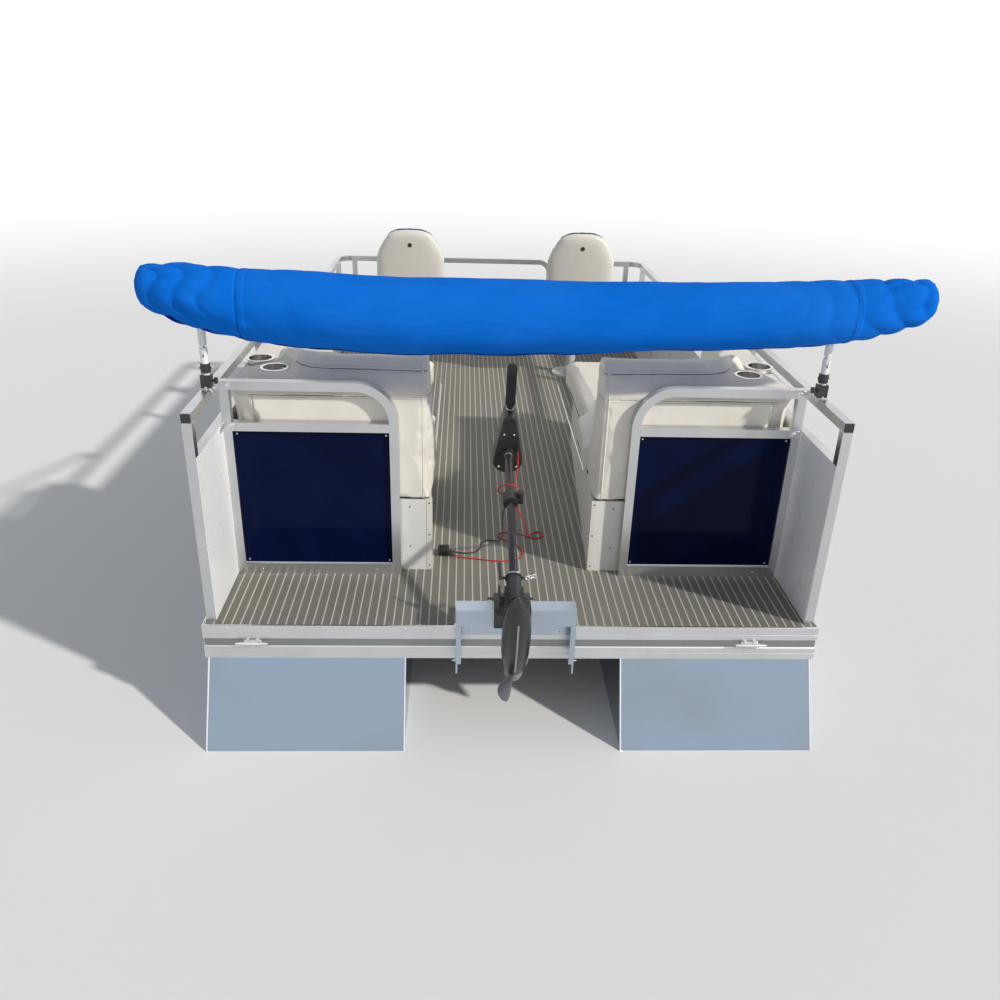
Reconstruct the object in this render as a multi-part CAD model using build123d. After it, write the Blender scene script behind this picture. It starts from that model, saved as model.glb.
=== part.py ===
from build123d import *
import math
import os

# Pontoon boat of about 4 m, drawn in millimetres.
# +X is starboard, +Y is forward, +Z is up. Z = 0 is the flat bottom of the pontoons,
# X = 0 the centreline and Y = 0 the middle of the overall length.
# A place along the boat is given as a distance ahead of the stern trim, a height as one above the deck.

# Deck and its trim
deck_length = 3960.0
deck_width = 2134.0
trim_height = 132.0
trim_lip = 6.0               # thickness of the trim that wraps the deck edge
trim_band = 3.0              # depth of the recessed band along the trim
trim_band_top = 40.0
trim_band_height = 46.0
trim_foot = 20.0             # width of the flange under the trim
board_thickness = 22.0
vinyl_thickness = 3.0
cross_height = 82.0
cross_width = 60.0
cross_count = 8
cross_wall = 5.0
cross_end = 150.0            # from the deck's ends to the first and last cross member
frame_gap = 4.0              # between the cross members and the side trims

# Pontoons
pontoon_width = 678.0
pontoon_inset = 10.0         # from the deck's edge to the pontoon's outer side
pontoon_height = 468.0
pontoon_chine_z = 182.0      # waterline, where the lower chamfers start
pontoon_keel_width = 285.0
stern_plate_slope = 0.532    # how far the stern plates lean aft for each unit down
stern_plate_y = 5.0          # top edge of the stern plates, ahead of the trim's face
nose_overhang = 75.0         # pontoon tip ahead of the deck
nose_length = 700.0
nose_rise = 250.0
nose_taper = 0.55            # width left at the tip
taper_share = 0.55           # share of the nose that narrows
rail_height = 25.0           # bearing rails between pontoon and cross members
rail_width = 50.0
rail_inset = 90.0
rail_end = 60.0
motor_overhang = 345.0       # propeller tip behind the stern trim

# Fences
tube = 31.75                 # square rail tube
rail_high = 751.0            # top of the tall stern rails above the deck
rail_low = 602.0             # top of the low rails, and of the mid rail under the tall ones
rail_mid = 453.0             # top of the mid rail under the low rails, forward of the lounges
rail_foot = 40.0             # top of the bottom rail
fence_inset = 12.4           # from the deck's edge to the side fences
rail_aft = 24.0              # aft face of the stern posts
stern_fence_aft = 355.0      # aft face of the two stern fences
stern_fence_radius = 150.0
stern_fence_step = 115.5     # from the lounge's aisle side to the stern fence's end
high_rail_end = 1100.0       # where the tall side rail drops to the low one
high_rail_radius = 100.0
bow_porch = 305.0            # deck left ahead of the bow fences
bow_corner = 100.0           # outer radius of the rails at the bow corners
gate_half = 425.0            # half the clear opening at the bow
gate_gap = 8.0
gate_foot = 12.0
gate_radius = 90.0
gate_hinges = [110.0, 420.0]  # foot of each hinge above the deck
knuckle = 9.0
knuckle_length = 32.0
leaf_reach = 34.0
leaf_thickness = 3.0
hinge_gap = 0.5
hinge_pin = 5.0
hinge_fit = 0.05
latch_height = 330.0
latch_radius = 6.0
latch_length = 60.0
panel_thickness = 4.0

# Motor bracket on the stern
mount_half = 203.0
mount_plate = 6.0
mount_depth = 62.0           # from the trim's face to the plates' aft edge
mount_top = 103.0
mount_face = 62.0
mount_foot = -152.0
mount_toe = 16.0
mount_wall = 5.0
mount_back_drop = 30.0       # the channel's forward side reaches this far below the deck

# Lounges ahead of the stern fences
lounge_width = 702.0
lounge_length = 1405.0
lounge_fence_gap = 22.85     # between the side fence and the lounge
lounge_aft_gap = 8.25        # between the stern fence and the lounge
lounge_taper = 85.0          # the base's aisle side draws back by this much towards its front end
lounge_base_z = 295.0
lounge_base_wall = 8.0
lounge_corner = 30.0
plinth_height = 10.0
plinth_inset = 12.0
back_depth = 215.0
back_top = 825.0
back_rear_top = 727.0
back_inset = 2.0
# outline of a lounge's backrest over its low front part: ahead of its rear face, above the deck
back_outline = [(0.0, 702.0), (10.0, back_rear_top), (70.0, 813.0), (105.0, back_top),
                (150.0, 817.0), (172.0, 775.0)]
# where the roll bends forward inside the cup holders: outboard of the backrest, ahead of its rear face
corner_roll_outline = [(-60.0, 17.0), (-10.0, 17.0), (70.0, 45.0), (112.0, 110.0), (128.0, 215.0), (185.0, 250.0),
                       (194.0, 295.0), (184.0, 338.0), (112.0, 255.0), (-10.0, 213.0), (-60.0, 205.0)]
corner_roll_drop = 9.0        # its top below the backrest's
corner_roll_round = 20.0
back_foot_rise = 150.0       # height over the seat at which the backrest is as deep as it gets
arm_top = 740.0
corner_width = 310.0         # armrest across the stern end
arm_width = 160.0            # armrest along the side fence
arm_length = 785.0
arm_corner = 60.0
seat_thickness = 112.0
seat_overhang = 14.0
seat_step = 41.0             # how far the forward part of the cushion draws back from the aisle
seat_step_start = 590.0      # where it starts to, ahead of the lounge's stern end
seat_step_end = 660.0
lid_barrel = 4.0             # hinge barrel along the cushion's aisle edge
seat_corner = 30.0
soft_gap = 0.3
seat_gap = 8.0
cup_radius = 42.0
cup_lip = 10.0
cup_depth = 75.0
cup_wall = 1.5
cup_rim_thickness = 3.0
cup_floor_gap = 3.0
# centre of each cup holder: in from the lounge's outboard side, ahead of its stern end
cups = [(130.0, 165.0), (55.0, 280.0)]

# Fishing chairs at the bow
chair_x = 505.0
chair_bow_gap = 665.0        # from the swivel axis to the bow fence
pedestal_radius = 30.0
pedestal_foot_radius = 115.0
pedestal_foot_height = 14.0
pedestal_top = 330.0
spider_half = 90.0
spider_height = 18.0
pan_half = 215.0
pan_front = 240.0
pan_rear = -215.0
pan_height = 100.0           # top of the pan above the pedestal
pan_corner = 60.0
chair_ear_x = 120.0
chair_ear = 6.0
chair_ear_radius = 14.0
chair_hinge_inset = 22.0
chair_back_half = 208.0
chair_back_height = 455.0
chair_back_lean = 7.0
chair_back_corner = 110.0
chair_shell = 60.0
chair_fold_gap = 8.0
barrel_radius = 12.0

# Folded canopy in its boot
canopy_hinge_y = 1650.0
canopy_hinge_rise = 53.0     # axis above the low rail
canopy_tube = 12.7
boot_y = 290.0
boot_rise = 257.0            # middle of the boot above the tall rail
boot_half_height = 122.0
boot_half_depth = 115.0
boot_past_port = 208.0       # how far the boot reaches past the deck's edge
boot_past_starboard = 258.0
boot_end = 220.0
boot_end_share = 0.45
boot_room = 13.0             # space round the bow where it bends inside the boot
bow_bend = 90.0
eye_radius = 11.0
eye_thickness = 6.0
pole_radius = 12.7
pole_drop = 136.0            # upper pivot of a support pole below the bow
pole_slot = 0.6
pole_lift = 9.0              # foot of the pole above the rail
jaw_wall = 4.0
jaw_height = 44.0
jaw_base = 5.0
jaw_fit = 0.6

# Electric outboard, stowed: shaft lying forward over the deck
pivot_behind = 72.0          # tilt axis behind the trim's face
pivot_rise = 38.0            # tilt axis above the mount's channel
shaft_offset = 67.0          # shaft axis above the tilt axis
stow_angle = 20.0            # the shaft rises forward from the pod
shaft_x = -14.0
shaft_radius = 14.3
shaft_fit = 0.05
sleeve_half = 55.0
sleeve_wall = 10.5
sleeve_ring = 4.0
sleeve_ring_width = 9.0
lever_radius = 5.0
yoke_ear_radius = 16.0
yoke_ear = 12.0
yoke_pin = 8.0
ear_gap = 1.5
clamp_ear = 12.0
clamp_half = 62.0
clamp_wall = 12.0
clamp_screw_z = 60.0
clamp_screw_x = 48.0
clamp_screw = 6.0
clamp_screw_length = 92.0
clamp_pad = 15.0
clamp_handle = 64.0
clamp_jaw_half = 14.0
clamp_jaw_gap = 20.0         # from the trim's aft face forward to the jaws
clamp_ear_radius = 22.0
quadrant_radius = 58.0
quadrant_thickness = 6.0
quadrant_notches = 7
pod_reach = 187.0            # along the shaft from the tilt axis to the pod
head_reach = 668.0
collar_reach = 395.0
collar_wall = 12.5
collar_length = 42.0
collar_slit = 2.5
knob_radius = 12.0
pod_radius = 46.0
pod_nose = 185.0
pod_tail = 165.0
neck_radius = 22.0
neck_height = 30.0
keel_depth = 9.0
keel_thickness = 5.0
notch_radius = 4.5
head_low = 109.0
head_high = 172.0
head_half = 57.0
head_tip = 25.0
head_depth = 85.0
head_round = 15.0
tiller_end = 374.0
tiller_radius = 19.0
tiller_root = 13.0
prop_gap = 2.0
prop_shaft_radius = 5.0
prop_fit = 0.05
hub_radius = 30.0
hub_length = 52.0
blade_turn = -31.0
# each section of a blade: distance from the axis, chord, thickness, pitch angle, sweep
blade_sections = [(22.0, 42.0, 9.0, 52.0, 0.0), (48.0, 56.0, 7.5, 42.0, 2.0), (76.0, 58.0, 5.5, 33.0, 9.0),
                  (98.0, 44.0, 4.0, 27.0, 20.0), (112.0, 18.0, 2.6, 24.0, 31.0)]

# Mooring cleats: x, and how far above the deck their middle is
cleats = [(-900.0, -62.0), (830.0, -62.0)]
bow_cleat_x = 850.0
cleat_length = 110.0
cleat_rise = 22.0
horn_radius = 7.0

# Electric leads: one from the control head to the collar, two from the collar over the deck to the plug
lead_radius = 2.5
plug_radius = 22.0
plug_ends = (-280.0, -234.0)
plug_y = 511.0
plug_chamfer = 3.0
lead_sides = 6               # sides of a lead's section
# route from the head to the collar: across to port, towards the pod's nose, up the shaft
head_lead_route = [(-34, 16, 667.5), (-36, 13, 642), (-35, 6, 606), (-31, -1, 570), (-27, -12, 536),
                   (-14, -32, 508), (10, -42, 488), (34, -30, 474), (45, -4, 464), (37, 24, 457),
                   (13, 41, 451), (-17, 38, 448), (-37, 19, 447), (-39, -6, 444), (-22, -17, 439.7)]
# routes over the deck: x, ahead of the stern trim, above the deck
red_lead_route = [(-0.3, 304, 323.8), (14, 312, 300), (28, 334, 266), (41, 370, 230), (52, 412, 190),
                  (62, 458, 147), (70, 506, 105), (78, 556, 66), (86, 606, 36), (94, 654, 17), (108, 698, 6),
                  (133, 716, 3), (153, 694, 2.8), (146, 664, 2.8), (118, 650, 2.8), (88, 664, 2.8),
                  (60, 690, 2.8), (24, 698, 2.8), (-12, 708, 2.8), (-38, 690, 2.8), (-36, 658, 2.8),
                  (-6, 634, 2.8), (28, 606, 2.8), (52, 570, 2.8), (61, 526, 2.8), (46, 484, 2.8),
                  (8, 461, 2.8), (-38, 459, 2.8), (-88, 466, 2.8), (-138, 478, 2.8), (-180, 484, 4),
                  (-208, 490, 7.5), (-232.9, 498, 12)]
black_lead_route = [(-28.2, 304, 323.8), (-34.5, 312, 300), (-37, 332, 264), (-36, 366, 224), (-33, 406, 180),
                    (-31, 450, 134), (-31, 498, 90), (-33, 546, 50), (-38, 590, 20), (-52, 626, 5),
                    (-80, 638, 2.8), (-104, 618, 2.8), (-108, 582, 2.8), (-118, 546, 2.8), (-144, 524, 2.8),
                    (-178, 520, 3.5), (-208, 522, 7), (-233.3, 522, 12)]

# Places that follow from the sizes above
stern_y = -(deck_length + nose_overhang - motor_overhang) / 2
deck_z = pontoon_height + rail_height + cross_height + board_thickness + vinyl_thickness
pontoon_inner_x = deck_width / 2 - pontoon_inset - pontoon_width
rail_side_x = deck_width / 2 - fence_inset
bow_fence_y = deck_length - bow_porch
side_posts = [high_rail_end + 150, (high_rail_end + 150 + bow_fence_y) / 2]
lounge_outer_x = rail_side_x - tube - lounge_fence_gap
lounge_inner_x = lounge_outer_x - lounge_width
lounge_aft = stern_fence_aft + tube + lounge_aft_gap
lounge_front = lounge_aft + lounge_length
arm_inner_x = lounge_outer_x - corner_width
arm_front = lounge_aft + arm_length
stern_fence_inner_x = lounge_inner_x + stern_fence_step
chair_y = bow_fence_y - chair_bow_gap
canopy_leg_x = rail_side_x - tube / 2
canopy_hinge_z = rail_low + canopy_hinge_rise
boot_z = rail_high + boot_rise
pole_pivot_z = boot_z - pole_drop
mount_aft = -mount_depth
pivot_y = -pivot_behind
pivot_z = mount_top + pivot_rise


def ahead(y):
    """A distance ahead of the stern trim, as a Y."""
    return stern_y + y


def over(z):
    """A height above the deck, as a Z."""
    return deck_z + z


def block(x0, x1, y0, y1, z0, z1):
    """A rectangular solid between two corners."""
    low = (min(x0, x1), min(y0, y1), min(z0, z1))
    return Pos(*low) * Box(abs(x1 - x0), abs(y1 - y0), abs(z1 - z0), align=(Align.MIN,) * 3)


def column(radius, height):
    """A cylinder standing on its own origin."""
    return Cylinder(radius, height, align=(Align.CENTER, Align.CENTER, Align.MIN))


def rod(start, end, radius):
    """A round bar from one point to another."""
    a, b = Vector(*start), Vector(*end)
    plane = Plane(origin=a, z_dir=(b - a).normalized())
    return extrude(plane * Circle(radius), (b - a).length)


def cross_pin(x, y, z, radius, length):
    """A round pin along X, centred on a point."""
    return Pos(x, y, z) * Rot(0, 90, 0) * Cylinder(radius, length)


def sheet_x(outline, x, thickness):
    """A flat outline of (y, z) points, extruded along X from x."""
    face = make_face(Polyline(*[(x, y, z) for y, z in outline], close=True))
    return extrude(face, amount=thickness, dir=(1, 0, 0))


def sheet_y(outline, y, thickness):
    """A flat outline of (x, z) points, extruded along Y from y."""
    face = make_face(Polyline(*[(x, y, z) for x, z in outline], close=True))
    return extrude(face, amount=thickness, dir=(0, 1, 0))


def rounded(shape, axis, radius, pick):
    """Round the edges along an axis whose centre satisfies pick."""
    edges = [e for e in shape.edges().filter_by(axis) if pick(e.center())]
    return fillet(edges, radius)


def mirrored(side, shape):
    """The starboard shape as drawn, or its mirror image for port."""
    return shape if side == "starboard" else mirror(shape, Plane.YZ)


def pontoon():
    """One hull log: a chined section, cut by the sloping stern plate, with a raked nose."""
    mid = pontoon_inner_x + pontoon_width / 2
    half, keel = pontoon_width / 2, pontoon_keel_width / 2
    tip, start = ahead(deck_length + nose_overhang), ahead(-1.2 * stern_plate_slope * pontoon_height - 100)
    section = [(mid - half, pontoon_height), (mid - half, pontoon_chine_z), (mid - keel, 0),
               (mid + keel, 0), (mid + half, pontoon_chine_z), (mid + half, pontoon_height)]
    log = sheet_y(section, start, tip - start)
    past = 50
    low_end = stern_plate_y - stern_plate_slope * (pontoon_height + past)
    high_end = stern_plate_y + stern_plate_slope * past
    stern = [(ahead(low_end), -past), (ahead(high_end), pontoon_height + past),
             (start - past, pontoon_height + past), (start - past, -past)]
    log -= sheet_x(stern, mid - half - 10, pontoon_width + 20)
    rake = [(tip + 10, -10), (tip - nose_length, -10), (tip - nose_length, 0), (tip - 0.6 * nose_length, 30),
            (tip - 0.28 * nose_length, 0.44 * nose_rise), (tip, nose_rise), (tip + 10, nose_rise)]
    log -= sheet_x(rake, mid - half - 10, pontoon_width + 20)
    taper_start, past_side = tip - taper_share * nose_length, half + 5
    for sign in (-1, 1):
        taper = [(mid + sign * half, taper_start), (mid + sign * past_side, taper_start),
                 (mid + sign * past_side, tip + 10), (mid + sign * nose_taper * half, tip + 10),
                 (mid + sign * nose_taper * half, tip)]
        face = make_face(Polyline(*[(x, y, -10) for x, y in taper], close=True))
        log -= extrude(face, amount=pontoon_height + 20, dir=(0, 0, 1))
    return log


def bearing_rails():
    """Rails along the tops of the pontoons that carry the cross members."""
    solids = []
    for centre in (pontoon_inner_x + rail_inset, pontoon_inner_x + pontoon_width - rail_inset):
        for sign in (-1, 1):
            x = sign * centre
            solids.append(block(x - rail_width / 2, x + rail_width / 2, ahead(rail_end),
                                ahead(deck_length - rail_end), pontoon_height, pontoon_height + rail_height))
    return solids


def cross_members():
    """Channels across the boat under the deck board."""
    solids = []
    bottom = pontoon_height + rail_height
    top = bottom + cross_height
    reach = deck_width / 2 - trim_lip - frame_gap
    pitch = (deck_length - 2 * cross_end - cross_width) / (cross_count - 1)
    for i in range(cross_count):
        y = ahead(cross_end + i * pitch)
        outer = block(-reach, reach, y, y + cross_width, bottom, top)
        inner = block(-reach - 1, reach + 1, y + cross_wall, y + cross_width + 1,
                      bottom + cross_wall, top - cross_wall)
        solids.append(outer - inner)
    return solids


def deck_layer(low, high):
    """A sheet over the whole deck inside the edge trim, between two heights."""
    reach = deck_width / 2 - trim_lip
    return block(-reach, reach, ahead(trim_lip), ahead(deck_length - trim_lip), low, high)


def trim_section():
    """Outline of the edge extrusion: (in, up) with a recessed band between two raised lips."""
    low, top = -trim_height, -trim_band_top
    foot = trim_band_top + trim_band_height
    return [(0, 0), (0, top), (trim_band, top - 4), (trim_band, 4 - foot), (0, -foot), (0, low),
            (trim_lip + trim_foot, low), (trim_lip + trim_foot, low + 4), (trim_lip, low + 4), (trim_lip, 0)]


def edge_trims():
    """Stern, bow and side extrusions that wrap the deck edge."""
    half = deck_width / 2
    stern = sheet_x([(ahead(o), over(u)) for o, u in trim_section()], -half, deck_width)
    bow = sheet_x([(ahead(deck_length - o), over(u)) for o, u in trim_section()], -half, deck_width)
    corner = trim_lip + trim_foot + 0.5
    y0, y1 = ahead(corner), ahead(deck_length - corner)
    side = sheet_y([(half - o, over(u)) for o, u in trim_section()], y0, y1 - y0)
    return stern, bow, side


def motor_mount():
    """Two tapered plates off the stern trim with a channel across them for the clamp."""
    plates = []
    for x in (-mount_half, mount_half - mount_plate):
        outline = [(0, -trim_height + 2), (0, 10), (0, mount_top), (mount_aft, mount_top),
                   (mount_aft, mount_foot), (mount_aft + mount_toe, mount_foot)]
        plates.append(sheet_x([(ahead(y), over(z)) for y, z in outline], x, mount_plate))
    inside = mount_half - mount_plate
    top = block(-inside, inside, ahead(mount_aft), ahead(0), over(mount_top - mount_wall), over(mount_top))
    face = block(-inside, inside, ahead(mount_aft), ahead(mount_aft + mount_wall),
                 over(mount_top - mount_face), over(mount_top))
    rear = block(-inside, inside, ahead(-mount_wall), ahead(0), over(-mount_back_drop), over(mount_top))
    return plates[0] + plates[1] + top + face + rear


def fence_frame(x0, x1, top, mid, inner_corner):
    """A fence frame across the boat, in its own X-Z plane: open over its mid rail, aisle corner rounded."""
    def inner_side(c, height):
        return c.Z > height - 1 and c.X < x0 + tube + 1

    frame = block(x0, x1, 0, tube, over(0), over(top))
    window = block(x0 + tube, x1 - tube, -1, tube + 1, over(mid), over(top - tube))
    if inner_corner:
        frame = rounded(frame, Axis.Y, inner_corner, lambda c: inner_side(c, over(top)))
        bend = min(inner_corner - tube, top - tube - mid - 2)
        window = rounded(window, Axis.Y, bend, lambda c: inner_side(c, over(top - tube)))
    return frame - window - block(x0 + tube, x1 - tube, -1, tube + 1, over(rail_foot), over(mid - tube))


def stern_fence():
    """Starboard stern fence: tall, with a rounded inboard top corner and an open window."""
    frame = fence_frame(stern_fence_inner_x, rail_side_x - tube, rail_high, rail_low, stern_fence_radius)
    return Pos(0, ahead(stern_fence_aft), 0) * frame


def gate_axis():
    """Axis of the gate: X, and Y measured from the aft face of the bow fences."""
    return gate_half - gate_gap / 2, tube + knuckle + 1


def hinge_leaf(z, reach):
    """A leaf from the gate's axis along the front of a frame, with its half of the knuckle."""
    axis_x, axis_y = gate_axis()
    leaf = block(axis_x, axis_x + reach, tube, tube + leaf_thickness, z, z + knuckle_length)
    leaf += block(axis_x - 2, axis_x + 2, tube + 0.5, axis_y, z, z + knuckle_length)
    return leaf + Pos(axis_x, axis_y, z) * column(knuckle, knuckle_length)


def bow_fence(hinged):
    """Starboard bow fence beside the gate, with the fixed halves of its hinges if it carries them."""
    frame = fence_frame(gate_half, rail_side_x - bow_corner, rail_low, rail_mid, 0)
    axis_x, axis_y = gate_axis()
    for z in gate_hinges if hinged else []:
        top = over(z) + knuckle_length + hinge_gap
        frame += hinge_leaf(top, leaf_reach)
        frame -= Pos(axis_x, axis_y, top) * Cylinder(hinge_pin + hinge_fit, 3 * knuckle_length)
    if not hinged:
        keeper = block(gate_half, gate_half + 2 * latch_radius + 6, tube, tube + 2 * latch_radius + leaf_thickness,
                       over(latch_height) - 12, over(latch_height) + 12)
        frame += keeper
    return Pos(0, ahead(bow_fence_y), 0) * frame


def fence_panel(x0, x1, y, top):
    """A painted skin that fills a frame's lower opening."""
    mid = ahead(y) + tube / 2
    return block(x0 + tube, x1 - tube, mid - panel_thickness / 2, mid + panel_thickness / 2,
                 over(rail_foot), over(top - tube))


def corner_ring(outer, inner, low, high):
    """A quarter of a ring round the starboard bow corner, between two heights."""
    quarter = (Circle(outer) - Circle(inner)) & (Pos(outer / 2, outer / 2) * Rectangle(outer, outer))
    x, y = rail_side_x - bow_corner, ahead(bow_fence_y) + tube - bow_corner
    return Pos(x, y, low) * extrude(quarter, high - low)


def side_fence():
    """Starboard side fence: tall to the end of the lounge, then low, and bent round the bow corner."""
    x0, x1 = rail_side_x - tube, rail_side_x
    y0, y1 = ahead(rail_aft), ahead(bow_fence_y) + tube - bow_corner
    frame = block(x0, x1, y0, y1, over(0), over(rail_low))
    tall = block(x0, x1, y0, ahead(high_rail_end), over(rail_low - 1), over(rail_high))
    tall = rounded(tall, Axis.X, high_rail_radius,
                   lambda c: c.Z > over(rail_high) - 1 and c.Y > ahead(high_rail_end) - 1)
    frame += tall
    window = block(x0 - 1, x1 + 1, y0 + tube, ahead(high_rail_end) - tube, over(rail_low), over(rail_high - tube))
    window = rounded(window, Axis.X, high_rail_radius - tube,
                     lambda c: c.Z > over(rail_high - tube) - 1 and c.Y > ahead(high_rail_end) - tube - 1)
    frame -= window
    for a, b, mid in side_bays():
        frame -= block(x0 - 1, x1 + 1, a, b, over(rail_foot), over(mid - tube))
        if mid < rail_low:
            frame -= block(x0 - 1, x1 + 1, a, b, over(mid), over(rail_low - tube))
    for low, high in ((0, rail_foot), (rail_mid - tube, rail_mid), (rail_low - tube, rail_low)):
        frame += corner_ring(bow_corner, bow_corner - tube, over(low), over(high))
    return frame


def side_bays():
    """Start, end and height of the rail over the skin, for each bay along a side fence."""
    posts = [ahead(rail_aft)] + [ahead(y) for y in side_posts] + [ahead(bow_fence_y - bow_corner)]
    tops = [rail_low] + [rail_mid] * (len(posts) - 2)
    return [(a + tube, b, top) for a, b, top in zip(posts, posts[1:], tops)]


def side_panels():
    """Skins in the bays of the starboard side fence and round its bow corner."""
    mid, half = rail_side_x - tube / 2, panel_thickness / 2
    skins = [block(mid - half, mid + half, a, b, over(rail_foot), over(top - tube))
             for a, b, top in side_bays()]
    bend = bow_corner - tube / 2
    return skins + [corner_ring(bend + half, bend - half, over(rail_foot), over(rail_mid - tube))]


def bow_gate():
    """The gate in the bow opening, with rounded top corners, its half hinges and a sliding latch."""
    half = gate_half - gate_gap
    frame = block(-half, half, 0, tube, over(gate_foot), over(rail_low))
    frame = rounded(frame, Axis.Y, gate_radius, lambda c: c.Z > over(rail_low) - 1)
    frame -= block(-half + tube, half - tube, -1, tube + 1, over(gate_foot + tube), over(rail_mid - tube))
    hole = block(-half + tube, half - tube, -1, tube + 1, over(rail_mid), over(rail_low - tube))
    frame -= rounded(hole, Axis.Y, gate_radius - tube, lambda c: c.Z > over(rail_low - tube) - 1)
    axis_x, axis_y = gate_axis()
    for z in gate_hinges:
        frame += hinge_leaf(over(z), -leaf_reach)
        frame += Pos(axis_x, axis_y, over(z)) * column(hinge_pin, 2 * knuckle_length)
    y, z = tube + latch_radius, over(latch_height)
    frame += block(-half, tube - half, tube - 1, y, z - latch_radius, z + latch_radius)
    frame += rod((-half, y, z), (-half + latch_length, y, z), latch_radius)
    frame += rod((-half + latch_length - 12, y, z), (-half + latch_length - 12, y + 4 * latch_radius, z), 4)
    return Pos(0, ahead(bow_fence_y), 0) * frame


def gate_panel():
    """The skin in the gate."""
    half = gate_half - gate_gap - tube
    mid = ahead(bow_fence_y) + tube / 2
    return block(-half, half, mid - panel_thickness / 2, mid + panel_thickness / 2,
                 over(gate_foot + tube), over(rail_mid - tube))


def seat_level():
    """Height above the deck at which the cushions rest on a lounge's base."""
    return lounge_base_z + plinth_height + soft_gap


def lounge_plan(inset, start, end):
    """Plan of the starboard lounge's base, drawn in by a margin, between two places ahead of its stern end."""
    x0, x1 = lounge_inner_x + inset, lounge_outer_x - inset
    y0, y1 = ahead(lounge_aft + start), ahead(lounge_aft + end)
    corners = [(x0 + lounge_taper * start / lounge_length, y0), (x1, y0), (x1, y1),
               (x0 + lounge_taper * end / lounge_length, y1)]
    return make_face(Polyline(*corners, close=True))


def lounge_base():
    """Starboard lounge base: an open storage box with a set-back plinth round its rim."""
    front = ahead(lounge_front)
    box = Pos(0, 0, over(0)) * extrude(lounge_plan(0, 0, lounge_length), lounge_base_z)
    box = rounded(box, Axis.Z, lounge_corner, lambda c: c.Y > front - 1)
    inner_end = lounge_length - plinth_inset
    plinth = extrude(lounge_plan(plinth_inset, plinth_inset, inner_end), plinth_height + 1)
    plinth = rounded(plinth, Axis.Z, lounge_corner - plinth_inset, lambda c: c.Y > front - plinth_inset - 1)
    box += Pos(0, 0, over(lounge_base_z - 1)) * plinth
    wall = plinth_inset + 2 * lounge_base_wall
    room = extrude(lounge_plan(wall, back_depth + wall, lounge_length - wall), lounge_base_z + plinth_height)
    return box - Pos(0, 0, over(lounge_base_wall)) * room


def lounge_back():
    """Backrest across the stern end of the lounge, with the roll on top that bends forward onto the armrest."""
    low = seat_level()
    outline = [(0, low)] + back_outline + [(back_depth, low + back_foot_rise), (back_depth, low)]
    outline = [(ahead(lounge_aft + a), over(b)) for a, b in outline]
    pad = sheet_x(outline, lounge_inner_x + back_inset, arm_inner_x - lounge_inner_x - back_inset - soft_gap)
    corners = [(arm_inner_x + x, ahead(lounge_aft + y)) for x, y in corner_roll_outline]
    low, top = over(arm_top + soft_gap), over(back_top - corner_roll_drop)
    roll = Pos(0, 0, low) * extrude(make_face(Polyline(*corners, close=True)), top - low)
    return pad + fillet(roll.edges().group_by(Axis.Z)[-1], corner_roll_round)


def cup_places():
    """Centre of each cup holder on the starboard armrest."""
    return [(lounge_outer_x - x, ahead(lounge_aft + y)) for x, y in cups]


def lounge_arm():
    """Corner armrest outboard of the backrest, with bored seats for the cup holders."""
    low = over(seat_level())
    y0, y1 = ahead(lounge_aft), ahead(arm_front)
    arm = block(arm_inner_x, lounge_outer_x, y0, y0 + back_depth, low, over(arm_top))
    arm += block(lounge_outer_x - arm_width, lounge_outer_x, y0 + back_depth - 1, y1, low, over(arm_top))
    arm = rounded(arm, Axis.Z, arm_corner, lambda c: c.Y > y1 - 1 or (c.Y < y0 + 1 and c.X > lounge_outer_x - 1))
    for x, y in cup_places():
        depth = cup_depth + cup_floor_gap
        arm -= Pos(x, y, over(arm_top) - depth) * column(cup_radius + cup_wall + soft_gap, depth + 1)
    return arm


def cup_holders():
    """Rimmed cups that drop into the armrest."""
    solids = []
    for x, y in cup_places():
        cup = column(cup_radius + cup_wall, cup_depth)
        rim = Pos(0, 0, cup_depth) * column(cup_radius + cup_lip, cup_rim_thickness)
        bore = Pos(0, 0, cup_wall) * column(cup_radius, cup_depth + 10)
        solids.append(Pos(x, y, over(arm_top - cup_depth)) * (cup + rim - bore))
    return solids


def lounge_seat():
    """Seat cushion that lifts as the lid of the storage box, with the hinge barrel along its aisle edge."""
    low = seat_level()
    x0, x1 = lounge_inner_x - seat_overhang, lounge_outer_x - arm_width - seat_gap
    y0, y1 = ahead(lounge_aft + back_depth + seat_gap), ahead(lounge_front + seat_overhang)
    outline = [(x0, y0), (x1, y0), (x1, y1), (x0 + seat_step, y1),
               (x0 + seat_step, ahead(lounge_aft + seat_step_end)), (x0, ahead(lounge_aft + seat_step_start))]
    pad = Pos(0, 0, over(low)) * extrude(make_face(Polyline(*outline, close=True)), seat_thickness)
    pad = fillet(pad.edges().filter_by(Axis.Z), seat_corner)
    axis_z = over(lounge_base_z + plinth_height)
    barrel_start = (lounge_inner_x, y0 + seat_corner, axis_z)
    return pad + rod(barrel_start, (lounge_inner_x, y1 - seat_corner, axis_z), lid_barrel)


def chair_pedestal():
    """Foot plate and post of a chair."""
    foot = column(pedestal_foot_radius, pedestal_foot_height)
    post = column(pedestal_radius, pedestal_top)
    collar = column(1.4 * pedestal_radius, 3 * pedestal_foot_height)
    return Pos(chair_x, ahead(chair_y), over(0)) * (foot + collar + post)


def fold_axis():
    """Axis of a chair's folding back: Y from the swivel axis and height above the deck."""
    rise = max(chair_shell / 2 + chair_fold_gap, chair_ear_radius + 1)
    return pan_rear + chair_hinge_inset, pedestal_top + pan_height + rise


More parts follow.
